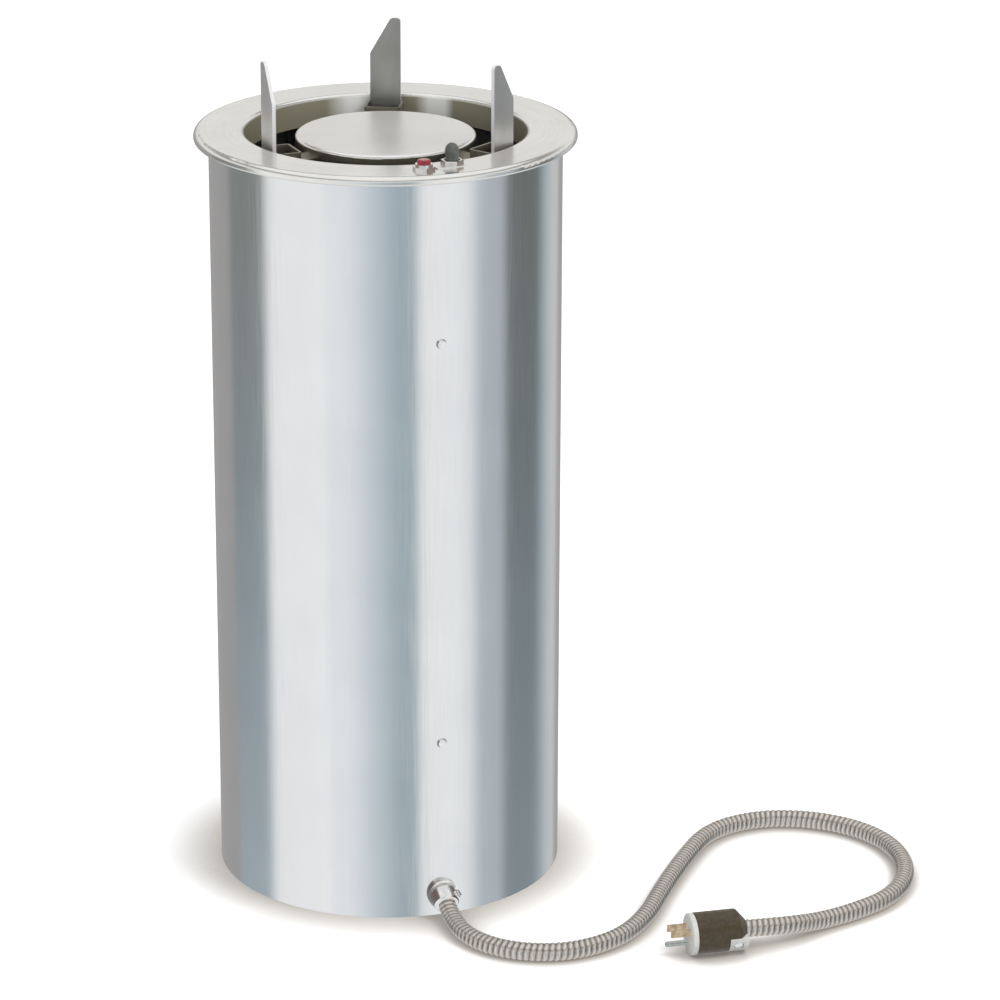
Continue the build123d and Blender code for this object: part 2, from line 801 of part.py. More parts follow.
# Wire raceway: a channel up the inside of the shell, held by the two shell screws
raceway_face = math.sqrt((shell_inner - insulation_gap) ** 2 - (raceway_width / 2) ** 2)
raceway_depth = raceway_face - liner_radius - insulation_gap
raceway_top = flange_underside - box_depth
with BuildPart() as wire_raceway:
    with BuildSketch(level(well_floor_underside, service_angle)):
        with Locations((raceway_face, 0)):
            Rectangle(raceway_depth, raceway_width, align=(Align.MAX, Align.CENTER))
        with Locations((raceway_face - raceway_sheet, 0)):
            Rectangle(
                raceway_depth,
                raceway_width - 2 * raceway_sheet,
                align=(Align.MAX, Align.CENTER),
                mode=Mode.SUBTRACT,
            )
    extrude(amount=raceway_top - well_floor_underside)
    for screw_height in screw_heights:
        with BuildSketch(facing_out(raceway_face + cut_margin, service_angle, screw_height)):
            Circle(screw_shank_radius)
        extrude(amount=-raceway_sheet - 2 * cut_margin, mode=Mode.SUBTRACT)
keep(wire_raceway, "wire_raceway")

# Shell screws: pan heads on the service line
with BuildPart() as shell_screws:
    for screw_height in screw_heights:
        with BuildSketch(facing_out(shell_radius, service_angle, screw_height)):
            Circle(screw_head_radius)
        extrude(amount=screw_head_height, taper=screw_head_taper)
        with BuildSketch(facing_out(shell_radius, service_angle, screw_height)):
            Circle(screw_shank_radius)
        extrude(amount=-screw_shank_length)
keep(shell_screws, "shell_screws")

# Control box: a segment-shaped pan under the flange, round the switch and the pilot light
box_wall_angle = math.degrees(box_sheet / box_inner_radius)
with BuildPart() as control_box:
    with BuildSketch(level(flange_underside)):
        annular_sector(box_inner_radius, box_outer_radius, box_start_angle, box_sweep)
    extrude(amount=-box_depth)
    with BuildSketch(level(flange_underside)):
        annular_sector(
            box_inner_radius + box_sheet,
            box_outer_radius - box_sheet,
            box_start_angle + box_wall_angle,
            box_sweep - 2 * box_wall_angle,
        )
    extrude(amount=-box_depth + box_sheet, mode=Mode.SUBTRACT)
    with BuildSketch(spot(raceway_face - raceway_depth / 2, service_angle, raceway_top - cut_margin)):
        Circle(box_wire_hole_radius)
    extrude(amount=box_sheet + 2 * cut_margin, mode=Mode.SUBTRACT)
keep(control_box, "control_box")

# Switch body: a toggle switch hung under the flange by its threaded bushing
switch_body_top = flange_underside - switch_body_drop
bushing_top = overall_height + legend_sheet + nut_thread_height
with BuildPart() as switch_body:
    with BuildSketch(spot(switch_radius, switch_angle, switch_body_top)):
        RectangleRounded(switch_body_depth, switch_body_width, radius=switch_body_corner)
    extrude(amount=-switch_body_height)
    with BuildSketch(spot(switch_radius, switch_angle, switch_body_top)):
        Circle(bushing_radius)
        Circle(bushing_bore, mode=Mode.SUBTRACT)
    extrude(amount=bushing_top - switch_body_top)
    with BuildSketch(spot(switch_radius, switch_angle, flange_underside)):
        RegularPolygon(back_nut_across_flats / 2, 6, major_radius=False, rotation=30)
        Circle(bushing_radius, mode=Mode.SUBTRACT)
    extrude(amount=-switch_body_drop)
    with BuildSketch(spot(switch_radius, switch_angle, switch_body_top - switch_body_height)):
        with GridLocations(0, switch_body_width / 2, 1, 2):
            Rectangle(tab_width, tab_thickness)
    extrude(amount=-tab_length)
keep(switch_body, "switch_body")

# Legend plate under the switch's nut, reaching towards the pilot light
with BuildPart() as legend_plate:
    with BuildSketch(spot(switch_radius, switch_angle, overall_height)):
        with Locations((0, -legend_shift)):
            Rectangle(legend_width, legend_length)
        far_corners = vertices().sort_by(Axis.Y)[-2:]
        chamfer(far_corners, length=legend_corner)
        Circle(bushing_radius, mode=Mode.SUBTRACT)
    extrude(amount=legend_sheet)
keep(legend_plate, "legend_plate")

# Switch nut: its upper part is opened out into a socket for the boot
with BuildPart() as switch_nut:
    with BuildSketch(spot(switch_radius, switch_angle, overall_height + legend_sheet)):
        RegularPolygon(nut_across_flats / 2, 6, major_radius=False)
        Circle(bushing_radius, mode=Mode.SUBTRACT)
    extrude(amount=nut_height)
    with BuildSketch(spot(switch_radius, switch_angle, bushing_top)):
        Circle(nut_bore)
    extrude(amount=nut_height, mode=Mode.SUBTRACT)
    chamfer(switch_nut.faces().sort_by(Axis.Z)[-1].outer_wire().edges(), length=nut_chamfer)
keep(switch_nut, "switch_nut")

# Switch lever and its rubber boot, whose ball-shaped foot turns about the lever's pivot
pivot_height = overall_height + boot_pivot_rise
boot_plane = Plane(
    origin=spot(switch_radius, switch_angle, pivot_height).origin,
    x_dir=spot(switch_radius, switch_angle, pivot_height).x_dir,
    z_dir=-spot(switch_radius, switch_angle, pivot_height).y_dir,
)
boot_axis = Axis(boot_plane.origin, (0, 0, 1))
boot_top = boot_height - boot_pivot_rise
dome_foot = boot_top - boot_neck_radius
ball_foot = math.sqrt(boot_ball_radius**2 - boot_base_rise**2)
ball_neck = math.sqrt(boot_ball_radius**2 - boot_neck_radius**2)
ball_middle = (boot_base_rise + ball_neck) / 2
with BuildPart() as switch_lever:
    with BuildSketch(spot(switch_radius, switch_angle, pivot_height - lever_tail)):
        Circle(lever_radius)
    extrude(amount=lever_tail + lever_head)
keep(switch_lever, "switch_lever")

with BuildPart() as switch_boot:
    with BuildSketch(boot_plane):
        with BuildLine():
            Line((lever_radius, boot_base_rise), (ball_foot, boot_base_rise))
            ThreePointArc(
                (ball_foot, boot_base_rise),
                (math.sqrt(boot_ball_radius**2 - ball_middle**2), ball_middle),
                (boot_neck_radius, ball_neck),
            )
            Line((boot_neck_radius, ball_neck), (boot_neck_radius, dome_foot))
            JernArc((boot_neck_radius, dome_foot), (0, 1), boot_neck_radius, 90)
            Polyline(
                (0, boot_top),
                (0, lever_head),
                (lever_radius, lever_head),
                (lever_radius, boot_base_rise),
            )
        make_face()
    revolve(axis=boot_axis)
keep(switch_boot, "switch_boot")

# Pilot light: body under the flange, hexagonal bezel and red lens on top
with BuildPart() as pilot_body:
    with BuildSketch(spot(pilot_radius, pilot_angle, overall_height + bezel_height)):
        Circle(pilot_body_radius)
    extrude(amount=-bezel_height - pilot_body_depth)
keep(pilot_body, "pilot_body")

with BuildPart() as pilot_bezel:
    with BuildSketch(spot(pilot_radius, pilot_angle, overall_height)):
        RegularPolygon(bezel_across_flats / 2, 6, major_radius=False)
        Circle(pilot_body_radius, mode=Mode.SUBTRACT)
    extrude(amount=bezel_height)
    with BuildSketch(spot(pilot_radius, pilot_angle, overall_height + bezel_height)):
        Circle(bezel_collar_radius)
        Circle(lens_radius, mode=Mode.SUBTRACT)
    extrude(amount=bezel_collar_height)
keep(pilot_bezel, "pilot_bezel")

with BuildPart() as pilot_lens:
    with BuildSketch(spot(pilot_radius, pilot_angle, overall_height + bezel_height)):
        Circle(lens_radius)
    extrude(amount=lens_height - bezel_height)
    fillet(pilot_lens.faces().sort_by(Axis.Z)[-1].edges(), radius=lens_edge_radius)
keep(pilot_lens, "pilot_lens")

# Conduit connector: thread through the shell, shoulder ring and a drooping clamp barrel with a screw lug
barrel_out = Vector(1, 0, 0).rotate(Axis.Z, service_angle)
barrel_droop = math.radians(connector_droop)
barrel_way = barrel_out * math.cos(barrel_droop) - Vector(0, 0, math.sin(barrel_droop))
barrel_start = barrel_out * (shell_radius + connector_ring_thickness / 2) + Vector(0, 0, connector_height)
conduit_start = barrel_start + barrel_way * connector_barrel_length
barrel_side = Vector(0, 0, 1).cross(barrel_way).normalized()
screw_out = barrel_side.rotate(Axis((0, 0, 0), barrel_way), connector_screw_angle)
lug_foot = screw_out * (connector_barrel_radius - connector_lug_height / 2)
lug_centre = barrel_start + barrel_way * connector_screw_back + lug_foot
lug_plane = Plane(origin=lug_centre, x_dir=barrel_way, z_dir=screw_out)
with BuildPart() as conduit_connector:
    with BuildSketch(Plane(origin=barrel_start, z_dir=barrel_way)):
        Circle(connector_barrel_radius)
    extrude(amount=connector_barrel_length)
    barrel_end = conduit_connector.faces().sort_by(Axis(barrel_start, barrel_way))[-1]
    chamfer(barrel_end.edges(), length=connector_chamfer)
    with BuildSketch(lug_plane):
        Circle(connector_lug_radius)
    extrude(amount=connector_lug_height)
    split(bisect_by=facing_out(shell_radius, service_angle, connector_height), keep=Keep.TOP)
    with BuildSketch(facing_out(shell_radius, service_angle, connector_height)):
        Circle(connector_ring_radius)
    extrude(amount=connector_ring_thickness)
    with BuildSketch(facing_out(shell_radius, service_angle, connector_height)):
        Circle(connector_thread_radius)
    extrude(amount=connector_thread_end - shell_radius)
keep(conduit_connector, "conduit_connector")

with BuildPart() as connector_locknut:
    with BuildSketch(facing_out(junction_outer_face - junction_sheet, service_angle, connector_height)):
        RegularPolygon(locknut_radius, 8)
        Circle(connector_thread_radius, mode=Mode.SUBTRACT)
    extrude(amount=-locknut_thickness)
keep(connector_locknut, "connector_locknut")

# Connector's clamp screw: a slotted head on the barrel's lug
with BuildPart() as connector_screw:
    with BuildSketch(lug_plane.offset(connector_lug_height)):
        Circle(connector_screw_radius)
    extrude(amount=connector_screw_height)
    with BuildSketch(lug_plane.offset(connector_lug_height + connector_screw_height)):
        Rectangle(2 * connector_screw_radius, slot_width)
    extrude(amount=-slot_depth, mode=Mode.SUBTRACT)
keep(connector_screw, "connector_screw")

# Flexible conduit: straight runs joined by arcs, each arc as large as its two runs allow
conduit_route = [conduit_start] + [Vector(point) for point in conduit_points] + [Vector(plug_back)]
conduit_runs = [b - a for a, b in zip(conduit_route, conduit_route[1:])]
conduit_radii = []
for run_in, run_out in zip(conduit_runs, conduit_runs[1:]):
    half_turn = math.radians(run_in.get_angle(run_out)) / 2
    shorter_run = min(run_in.length, run_out.length)
    conduit_radii.append(conduit_arc_share * shorter_run / math.tan(half_turn))
print("conduit bend radii:", [round(radius) for radius in conduit_radii])
with BuildPart() as conduit:
    with BuildLine() as conduit_path:
        FilletPolyline(*conduit_route, radius=conduit_radii)
    with BuildSketch(Plane(origin=conduit_start, z_dir=conduit_runs[0])):
        Circle(conduit_radius)
    sweep(path=conduit_path.line)
conduit_length = sum(edge.length for edge in conduit_path.edges())
print("conduit length:", round(conduit_length, 1))
print("volume over section times length:",
      round(conduit.part.volume / (math.pi * conduit_radius**2 * conduit_length), 4))
keep(conduit, "conduit")

# Plug: moulded body whose rear lower half is a pale clamp, a pale face, two blades and a ground pin
plug_way = Vector(1, 0, 0).rotate(Axis.Z, plug_heading)
plug_axis = Axis(plug_back, plug_way)
plug_side_plane = Plane(origin=plug_back, x_dir=(0, 0, 1), z_dir=Vector(0, 0, 1).cross(plug_way))


def plug_section(distance):
    """Plane across the plug at a distance from its back, with X up."""
    return Plane(origin=Vector(plug_back) + plug_way * distance, x_dir=(0, 0, 1), z_dir=plug_way)


def clamp_half(outer, inner):
    """Lower half of a ring round the plug's axis, in the sketch that is open."""
    Circle(outer)
    Circle(inner, mode=Mode.SUBTRACT)
    with Locations((-clamp_part_gap, 0)):
        Rectangle(outer, 2 * outer, align=(Align.MAX, Align.CENTER), mode=Mode.INTERSECT)


def clamp_screw_plane(side):
    """Floor of a clamp screw's pocket, facing out and down to one side of the plug."""
    tilt = math.radians(clamp_screw_angle)
    level_out = Vector(0, 0, 1).cross(plug_way) * side
    out = level_out * math.cos(tilt) - Vector(0, 0, math.sin(tilt))
    seat = Vector(plug_back) + plug_way * clamp_screw_back + out * clamp_pocket_floor
    return Plane(origin=seat, x_dir=plug_way, z_dir=out)


with BuildPart() as plug_body:
    with BuildSketch(plug_side_plane):
        with BuildLine():
            FilletPolyline(
                (0, 0),
                (plug_core_radius, 0),
                (plug_radius, plug_shoulder_length),
                (plug_radius, plug_length),
                (0, plug_length),
                radius=[plug_heel_radius, plug_shoulder_radius, plug_front_radius],
            )
            Line((0, plug_length), (0, 0))
        make_face()
    revolve(axis=plug_axis)
    with BuildSketch(plug_section(0)):
        clamp_half(plug_radius + cut_margin, plug_core_radius)
    extrude(amount=clamp_length, mode=Mode.SUBTRACT)
keep(plug_body, "plug_body")

# Plug clamp: a pale half-round saddle under the conduit's end, held by one slotted screw on each side
with BuildPart() as plug_clamp:
    with BuildSketch(plug_section(clamp_setback)):
        clamp_half(clamp_radius, plug_core_radius + clamp_part_gap)
    extrude(amount=clamp_length - clamp_setback)
    for side in (-1, 1):
        with BuildSketch(clamp_screw_plane(side)):
            Circle(clamp_pocket_radius)
        extrude(amount=plug_radius, mode=Mode.SUBTRACT)
keep(plug_clamp, "plug_clamp")

with BuildPart() as clamp_screws:
    for side in (-1, 1):
        with BuildSketch(clamp_screw_plane(side)):
            Circle(clamp_screw_radius)
        extrude(amount=clamp_screw_height)
        with BuildSketch(clamp_screw_plane(side).offset(clamp_screw_height)):
            Rectangle(2 * clamp_screw_radius, slot_width)
        extrude(amount=-slot_depth, mode=Mode.SUBTRACT)
keep(clamp_screws, "clamp_screws")

with BuildPart() as plug_face:
    with BuildSketch(plug_section(plug_length)):
        Circle(plug_face_radius)
    extrude(amount=plug_face_thickness)
    chamfer(plug_face.faces().sort_by(plug_axis)[-1].edges(), length=plug_face_chamfer)
keep(plug_face, "plug_face")

with BuildPart() as plug_blades:
    with BuildSketch(plug_section(plug_length + plug_face_thickness)):
        with Locations((blade_row_rise, 0)):
            with GridLocations(0, blade_spacing, 1, 2):
                Rectangle(blade_height, blade_thickness)
    extrude(amount=blade_length)
    chamfer(plug_blades.faces().sort_by(plug_axis)[-2:].edges(), length=blade_chamfer)
keep(plug_blades, "plug_blades")

with BuildPart() as plug_ground_pin:
    with BuildSketch(plug_section(plug_length + plug_face_thickness)):
        with Locations((blade_row_rise - ground_drop, 0)):
            Circle(ground_radius)
    extrude(amount=ground_length)
    fillet(plug_ground_pin.faces().sort_by(plug_axis)[-1].edges(), radius=ground_tip_radius)
keep(plug_ground_pin, "plug_ground_pin")

# Platform: a spun disc with a rounded edge and a short skirt, under the lowest plate
with BuildPart() as platform_disc:
    with BuildSketch(Plane.XZ):
        with BuildLine():
            platform_line = FilletPolyline(
                (0, platform_top),
                (platform_radius, platform_top),
                (platform_radius, skirt_foot),
                radius=platform_edge_radius,
            )
            offset(platform_line, amount=platform_sheet, side=Side.RIGHT, closed=True)
        make_face()
    revolve(axis=Axis.Z)
keep(platform_disc, "platform_disc")

# Platform boss: a short tube between the disc and the spider's hub
with BuildPart() as platform_boss:
    with BuildSketch(level(skirt_foot)):
        Circle(boss_radius)
        Circle(boss_radius - boss_wall, mode=Mode.SUBTRACT)
    extrude(amount=platform_underside - skirt_foot)
keep(platform_boss, "platform_boss")

# Platform spider: three channel-section arms from the hub out to the guide channels
channel_back = -channel_depth
with BuildPart() as arm_blank:
    with BuildSketch(level(skirt_foot - arm_sheet)):
        Rectangle(post_circle_radius, arm_width, align=(Align.MIN, Align.CENTER))
    extrude(amount=arm_sheet)
    with BuildSketch(level(skirt_foot - arm_sheet)):
        for side in (-1, 1):
            with Locations((arm_hub_radius, side * (arm_width - arm_sheet) / 2)):
                Rectangle(post_circle_radius, arm_sheet, align=(Align.MIN, Align.CENTER))
    extrude(amount=-arm_lip)
    with BuildSketch(post_level(skirt_foot + cut_margin)):
        with Locations((0, channel_back)):
            Rectangle(4 * arm_width, post_circle_radius, align=(Align.CENTER, Align.MIN))
    extrude(amount=-arm_sheet - arm_lip - 2 * cut_margin, mode=Mode.SUBTRACT)
with BuildPart() as platform_spider:
    with PolarLocations(0, post_count, start_angle=first_post_angle):
        add(arm_blank.part)
    with BuildSketch(level(skirt_foot - arm_sheet)):
        Circle(arm_hub_radius)
    extrude(amount=arm_sheet)
    with BuildSketch(level(skirt_foot + cut_margin)):
        Circle(arm_hub_bore)
    extrude(amount=-arm_sheet - 2 * cut_margin, mode=Mode.SUBTRACT)
keep(platform_spider, "platform_spider")

# Guide channels: folded channels that straddle the posts and tie the platform to the carrier plate
channel_outer = channel_half + carrier_sheet
with BuildPart() as channel_blank:
    with BuildSketch(post_level(plate_top)):
        with BuildLine():
            channel_line = FilletPolyline(
                (-channel_outer, channel_overlap),
                (-channel_outer, channel_back),
                (channel_outer, channel_back),
                (channel_outer, channel_overlap),
                radius=channel_corner_radius,
            )
            offset(channel_line, amount=carrier_sheet, side=Side.LEFT, closed=True)
        make_face()
    extrude(amount=channel_top - plate_top)
guide_channels = round_the_posts(channel_blank)
keep(guide_channels, "guide_channels")

# Glides: nylon pads in the channels that bear on the posts' inner faces
glide_face = -post_thickness / 2 - glide_gap
for glide_name, glide_foot in (
    ("upper_glides", channel_top - glide_inset - glide_height),
    ("lower_glides", plate_top + glide_inset),
):
    with BuildPart() as glide_blank:
        with BuildSketch(post_level(glide_foot)):
            with Locations((0, glide_face)):
                Rectangle(2 * channel_half, glide_thickness, align=(Align.CENTER, Align.MAX))
        extrude(amount=glide_height)
    glides = round_the_posts(glide_blank)
    keep(glides, glide_name)

# Carrier plate: notched round the posts and pierced so that warm air rises through it
with BuildPart() as notch_blank:
    with BuildSketch(post_level(plate_underside - cut_margin)):
        with Locations((0, channel_back + carrier_sheet)):
            Rectangle(2 * channel_half, 2 * channel_depth, align=(Align.CENTER, Align.MIN))
    extrude(amount=carrier_sheet + 2 * cut_margin)
with BuildPart() as carrier_plate:
    with BuildSketch(level(plate_underside, first_post_angle)):
        Circle(carrier_plate_radius)
        Circle(carrier_plate_bore, mode=Mode.SUBTRACT)
        with PolarLocations(0, post_count, start_angle=spring_angle_offset):
            with Locations(hook_places):
                Circle(hook_hole_radius, mode=Mode.SUBTRACT)
        for window_angle in window_angles:
            with PolarLocations(carrier_window_circle, post_count, start_angle=window_angle):
                Circle(carrier_window_radius, mode=Mode.SUBTRACT)
    extrude(amount=carrier_sheet)
    with PolarLocations(0, post_count, start_angle=first_post_angle):
        add(notch_blank.part, mode=Mode.SUBTRACT)
keep(carrier_plate, "carrier_plate")

# Carrier collar: a rolled ring, spot-welded on the carrier plate round its bore
with BuildPart() as carrier_collar:
    with BuildSketch(level(plate_top)):
        Circle(carrier_plate_bore + carrier_sheet)
        Circle(carrier_plate_bore, mode=Mode.SUBTRACT)
    extrude(amount=carrier_collar_height)
keep(carrier_collar, "carrier_collar")
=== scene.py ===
import json
import math

import bmesh
import bpy
from mathutils import Matrix, Vector


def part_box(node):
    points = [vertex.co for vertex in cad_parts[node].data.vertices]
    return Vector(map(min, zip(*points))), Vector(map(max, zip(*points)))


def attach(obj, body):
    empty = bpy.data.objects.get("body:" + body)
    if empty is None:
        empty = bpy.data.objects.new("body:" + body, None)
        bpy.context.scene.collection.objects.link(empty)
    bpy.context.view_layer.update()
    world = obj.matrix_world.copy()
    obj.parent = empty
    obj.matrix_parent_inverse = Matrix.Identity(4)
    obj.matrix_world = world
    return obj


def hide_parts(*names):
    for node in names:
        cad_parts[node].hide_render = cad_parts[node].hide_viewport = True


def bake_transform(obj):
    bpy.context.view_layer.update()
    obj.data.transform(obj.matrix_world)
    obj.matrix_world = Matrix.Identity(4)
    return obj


# Drop-in heated plate dispenser: its finishes, lift springs, flexible conduit and the studio round it.
# Metres, +Z up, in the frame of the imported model. -Y is the front, towards the camera.

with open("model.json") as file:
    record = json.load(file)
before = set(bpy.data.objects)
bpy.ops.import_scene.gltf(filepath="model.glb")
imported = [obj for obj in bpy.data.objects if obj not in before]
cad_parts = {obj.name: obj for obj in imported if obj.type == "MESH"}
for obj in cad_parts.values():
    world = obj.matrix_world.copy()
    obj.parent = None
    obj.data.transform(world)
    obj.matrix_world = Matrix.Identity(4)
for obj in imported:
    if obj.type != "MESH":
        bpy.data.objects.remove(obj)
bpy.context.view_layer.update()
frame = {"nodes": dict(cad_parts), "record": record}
MM = 0.001


# Material helpers

def new_material(name, colour, roughness, metallic=0.0):
    """A material with a plain Principled shader to build on."""
    material = bpy.data.materials.new(name)
    material.use_nodes = True
    shader = material.node_tree.nodes["Principled BSDF"]
    shader.inputs["Base Color"].default_value = (*colour, 1)
    shader.inputs["Roughness"].default_value = roughness
    shader.inputs["Metallic"].default_value = metallic
    return material, shader


def wire(material, source, target):
    material.node_tree.links.new(source, target)


def maths(tree, operation, first, second=0.0):
    """A maths node on two sockets or numbers."""
    made = tree.nodes.new("ShaderNodeMath")
    made.operation = operation
    for socket, value in zip(made.inputs, (first, second)):
        if isinstance(value, (int, float)):
            socket.default_value = value
        else:
            tree.links.new(value, socket)
    return made.outputs["Value"]


def ramp(tree, value, stops, low, high):
    """A colour ramp over (place, colour) stops that run from low to high."""
    made = tree.nodes.new("ShaderNodeValToRGB")
    elements = made.color_ramp.elements
    while len(elements) < len(stops):
        elements.new(0.5)
    for element, (place, colour) in zip(elements, stops):
        element.position = (place - low) / (high - low)
        element.color = (*colour, 1) if isinstance(colour, tuple) else (colour, colour, colour, 1)
    tree.links.new(maths(tree, "DIVIDE", maths(tree, "SUBTRACT", value, low), high - low), made.inputs["Fac"])
    return made.outputs["Color"]


def mixed(tree, factor, first, second, blend_type="MIX"):
    """Two colours mixed, where each may be a socket or a plain colour."""
    made = tree.nodes.new("ShaderNodeMix")
    made.data_type = "RGBA"
    made.blend_type = blend_type
    colours = {socket.name: socket for socket in made.inputs if socket.type == "RGBA"}
    for socket, value in ((made.inputs["Factor"], factor), (colours["A"], first), (colours["B"], second)):
        if isinstance(value, tuple):
            socket.default_value = (*value, 1)
        elif isinstance(value, (int, float)):
            socket.default_value = value
        else:
            tree.links.new(value, socket)
    return next(socket for socket in made.outputs if socket.type == "RGBA")


def split(material, vector):
    """A vector's three parts, by the names X, Y and Z."""
    parts = material.node_tree.nodes.new("ShaderNodeSeparateXYZ")
    wire(material, vector, parts.inputs["Vector"])
    return parts.outputs


def facing(material):
    """The way the surface faces, in the object's own axes."""
    return material.node_tree.nodes.new("ShaderNodeTexCoord").outputs["Normal"]


def object_point(material, stretch=(1, 1, 1)):
    """Object coordinates, stretched so that a pattern runs along the object's own axes."""
    nodes = material.node_tree.nodes
    coordinates = nodes.new("ShaderNodeTexCoord")
    mapping = nodes.new("ShaderNodeMapping")
    mapping.inputs["Scale"].default_value = stretch
    wire(material, coordinates.outputs["Object"], mapping.inputs["Vector"])
    return mapping.outputs["Vector"]


def round_point(material, stretch=(1, 1, 1)):
    """Radius, angle and height about the dispenser's axis, for marks that run round it."""
    tree = material.node_tree
    nodes = tree.nodes
    parts = split(material, nodes.new("ShaderNodeTexCoord").outputs["Object"])
    flat = nodes.new("ShaderNodeCombineXYZ")
    length = nodes.new("ShaderNodeVectorMath")
    length.operation = "LENGTH"
    polar = nodes.new("ShaderNodeCombineXYZ")
    mapping = nodes.new("ShaderNodeMapping")
    mapping.inputs["Scale"].default_value = stretch
    wire(material, parts["X"], flat.inputs["X"])
    wire(material, parts["Y"], flat.inputs["Y"])
    wire(material, flat.outputs["Vector"], length.inputs[0])
    wire(material, length.outputs["Value"], polar.inputs["X"])
    wire(material, maths(tree, "ARCTAN2", parts["Y"], parts["X"]), polar.inputs["Y"])
    wire(material, parts["Z"], polar.inputs["Z"])
    wire(material, polar.outputs["Vector"], mapping.inputs["Vector"])
    return mapping.outputs["Vector"]


def noise(material, point, scale, detail=2.0):
    texture = material.node_tree.nodes.new("ShaderNodeTexNoise")
    texture.inputs["Scale"].default_value = scale
    texture.inputs["Detail"].default_value = detail
    wire(material, point, texture.inputs["Vector"])
    return texture.outputs["Fac"]


def spread(material, value, low, high, dark=0.35, light=0.65):
    """A texture's value between two limits turned into a number from low to high."""
    made = material.node_tree.nodes.new("ShaderNodeMapRange")
    made.inputs["From Min"].default_value = dark
    made.inputs["From Max"].default_value = light
    made.inputs["To Min"].default_value = low
    made.inputs["To Max"].default_value = high
    wire(material, value, made.inputs["Value"])
    return made.outputs["Result"]


def tint(material, shader, value, first, second):
    """Base colour between two tones."""
    colour = mixed(material.node_tree, value, first, second)
    wire(material, colour, shader.inputs["Base Color"])
    return colour


def raise_surface(material, shader, heights, depth):
    """Bump from one or more (value, share) pairs, with depth in metres."""
    previous = None
    for value, share in heights:
        bump = material.node_tree.nodes.new("ShaderNodeBump")
        bump.inputs["Strength"].default_value = 1.0
        bump.inputs["Distance"].default_value = depth * share
        wire(material, value, bump.inputs["Height"])
        if previous is not None:
            wire(material, previous, bump.inputs["Normal"])
        previous = bump.outputs["Normal"]
    wire(material, previous, shader.inputs["Normal"])


# Finishes

flange_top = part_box("top_flange")[1].z
throat_edge = 128.5 * MM
throat_inner_edge = 100 * MM
throat_fade = (flange_top - 3.5 * MM, flange_top - 1.2 * MM)
throat_dullness = 0.8
platform_edge = 79.5 * MM
platform_dullness = 0.35
flat_top_facing = (0.9, 0.995)
duller_roughness = 0.2
platform_share = 0.6
# Painted reflection in the throat, by the angle round the axis: olive for the dim well it reflects, a darker
# olive as painted shade, and painted glints (painted highlights) at its back.
painted_olive = (0.33, 0.305, 0.225)
painted_olive_shade = (0.24, 0.22, 0.16)
painted_glint = (1.0, 1.0, 0.97)
painted_throat_reflection = [
    (-180, painted_olive_shade), (-60, painted_olive_shade), (20, painted_olive_shade), (52, painted_olive), (62, painted_olive), (66, painted_glint),
    (73, painted_glint), (79, painted_olive), (96, painted_olive), (99, painted_glint), (107, painted_glint), (117, painted_olive), (130, painted_olive),
    (180, painted_olive_shade),
]
first_post_angle = 91.45
post_twist = 8.24
post_angles = [math.radians(first_post_angle - post_twist + turn) for turn in (0, 120, 240)]
# Post edges, found by their facing, are painted near-white partly as a highlight; the post past the rear line
# gets painted shade.
post_face_limit = 0.93
rear_post_line = 50 * MM
post_metallic = 0.85
highlit_ground_edge_dullness = 0.6
along_the_bar = (1, 1, 0.012)
# Facing range over which plated parts take painted shade on their left and right sides.
painted_side_facing = (0.44, 0.62)


def rolled_sheet(name, light, dark, roughness, grain=0.000007):
    """Satin rolled sheet: fine grain, faint upright roll marks and soft cloudiness."""
    material, shader = new_material(name, light, roughness, 1.0)
    point = object_point(material)
    grain_noise = noise(material, point, 1400, 2)
    streaks = noise(material, object_point(material, (1, 1, 0.02)), 900, 1)
    cloud = noise(material, point, 14, 3)
    tint(material, shader, spread(material, cloud, 0.0, 1.0), light, dark)
    wire(material, spread(material, streaks, roughness - 0.03, roughness + 0.05), shader.inputs["Roughness"])
    raise_surface(material, shader, [(grain_noise, 1.0), (streaks, 0.5)], grain)
    return material


def spun_sheet(name, light, dark, roughness, marks=0.000003):
    """Spun sheet: hair lines round the axis, a duller platform, and a throat painted olive as a painted
    reflection of the dim well, with painted glints at its back.
    """
    material, shader = new_material(name, light, roughness, 1.0)
    tree = material.node_tree
    lines = noise(material, round_point(material, (1, 0.002, 1)), 1600, 3)
    cloud = noise(material, object_point(material), 18, 3)
    sheet = tint(material, shader, spread(material, cloud, 0.0, 1.0), light, dark)
    place = split(material, round_point(material))
    in_mouth = maths(tree, "LESS_THAN", place["X"], throat_edge)
    past_plates = maths(tree, "GREATER_THAN", place["X"], throat_inner_edge)
    under_lip = spread(material, place["Z"], 1.0, 0.0, *throat_fade)
    throat = maths(tree, "MULTIPLY", maths(tree, "MULTIPLY", in_mouth, past_plates), under_lip)
    # Painted reflection: the throat's olive tones and painted glints go into the base colour by angle round the
    # axis.
    painted_reflection = ramp(tree, maths(tree, "MULTIPLY", place["Y"], 180 / math.pi), painted_throat_reflection, -180, 180)
    wire(material, mixed(tree, throat, sheet, painted_reflection), shader.inputs["Base Color"])
    flat_top = spread(material, split(material, facing(material))["Z"], 0.0, 1.0, *flat_top_facing)
    on_platform = maths(tree, "MULTIPLY", maths(tree, "LESS_THAN", place["X"], platform_edge), flat_top)
    throat_loss = maths(tree, "MULTIPLY", throat, throat_dullness)
    platform_loss = maths(tree, "MULTIPLY", on_platform, platform_dullness)
    shine = maths(tree, "SUBTRACT", 1.0, maths(tree, "ADD", throat_loss, platform_loss))
    wire(material, shine, shader.inputs["Metallic"])
    duller = maths(tree, "ADD", throat, maths(tree, "MULTIPLY", on_platform, platform_share))
    hair = spread(material, lines, roughness - 0.03, roughness + 0.06)
    rougher = maths(tree, "ADD", hair, maths(tree, "MULTIPLY", duller, duller_roughness))
    wire(material, rougher, shader.inputs["Roughness"])
    raise_surface(material, shader, [(lines, 1.0)], marks)
    return material


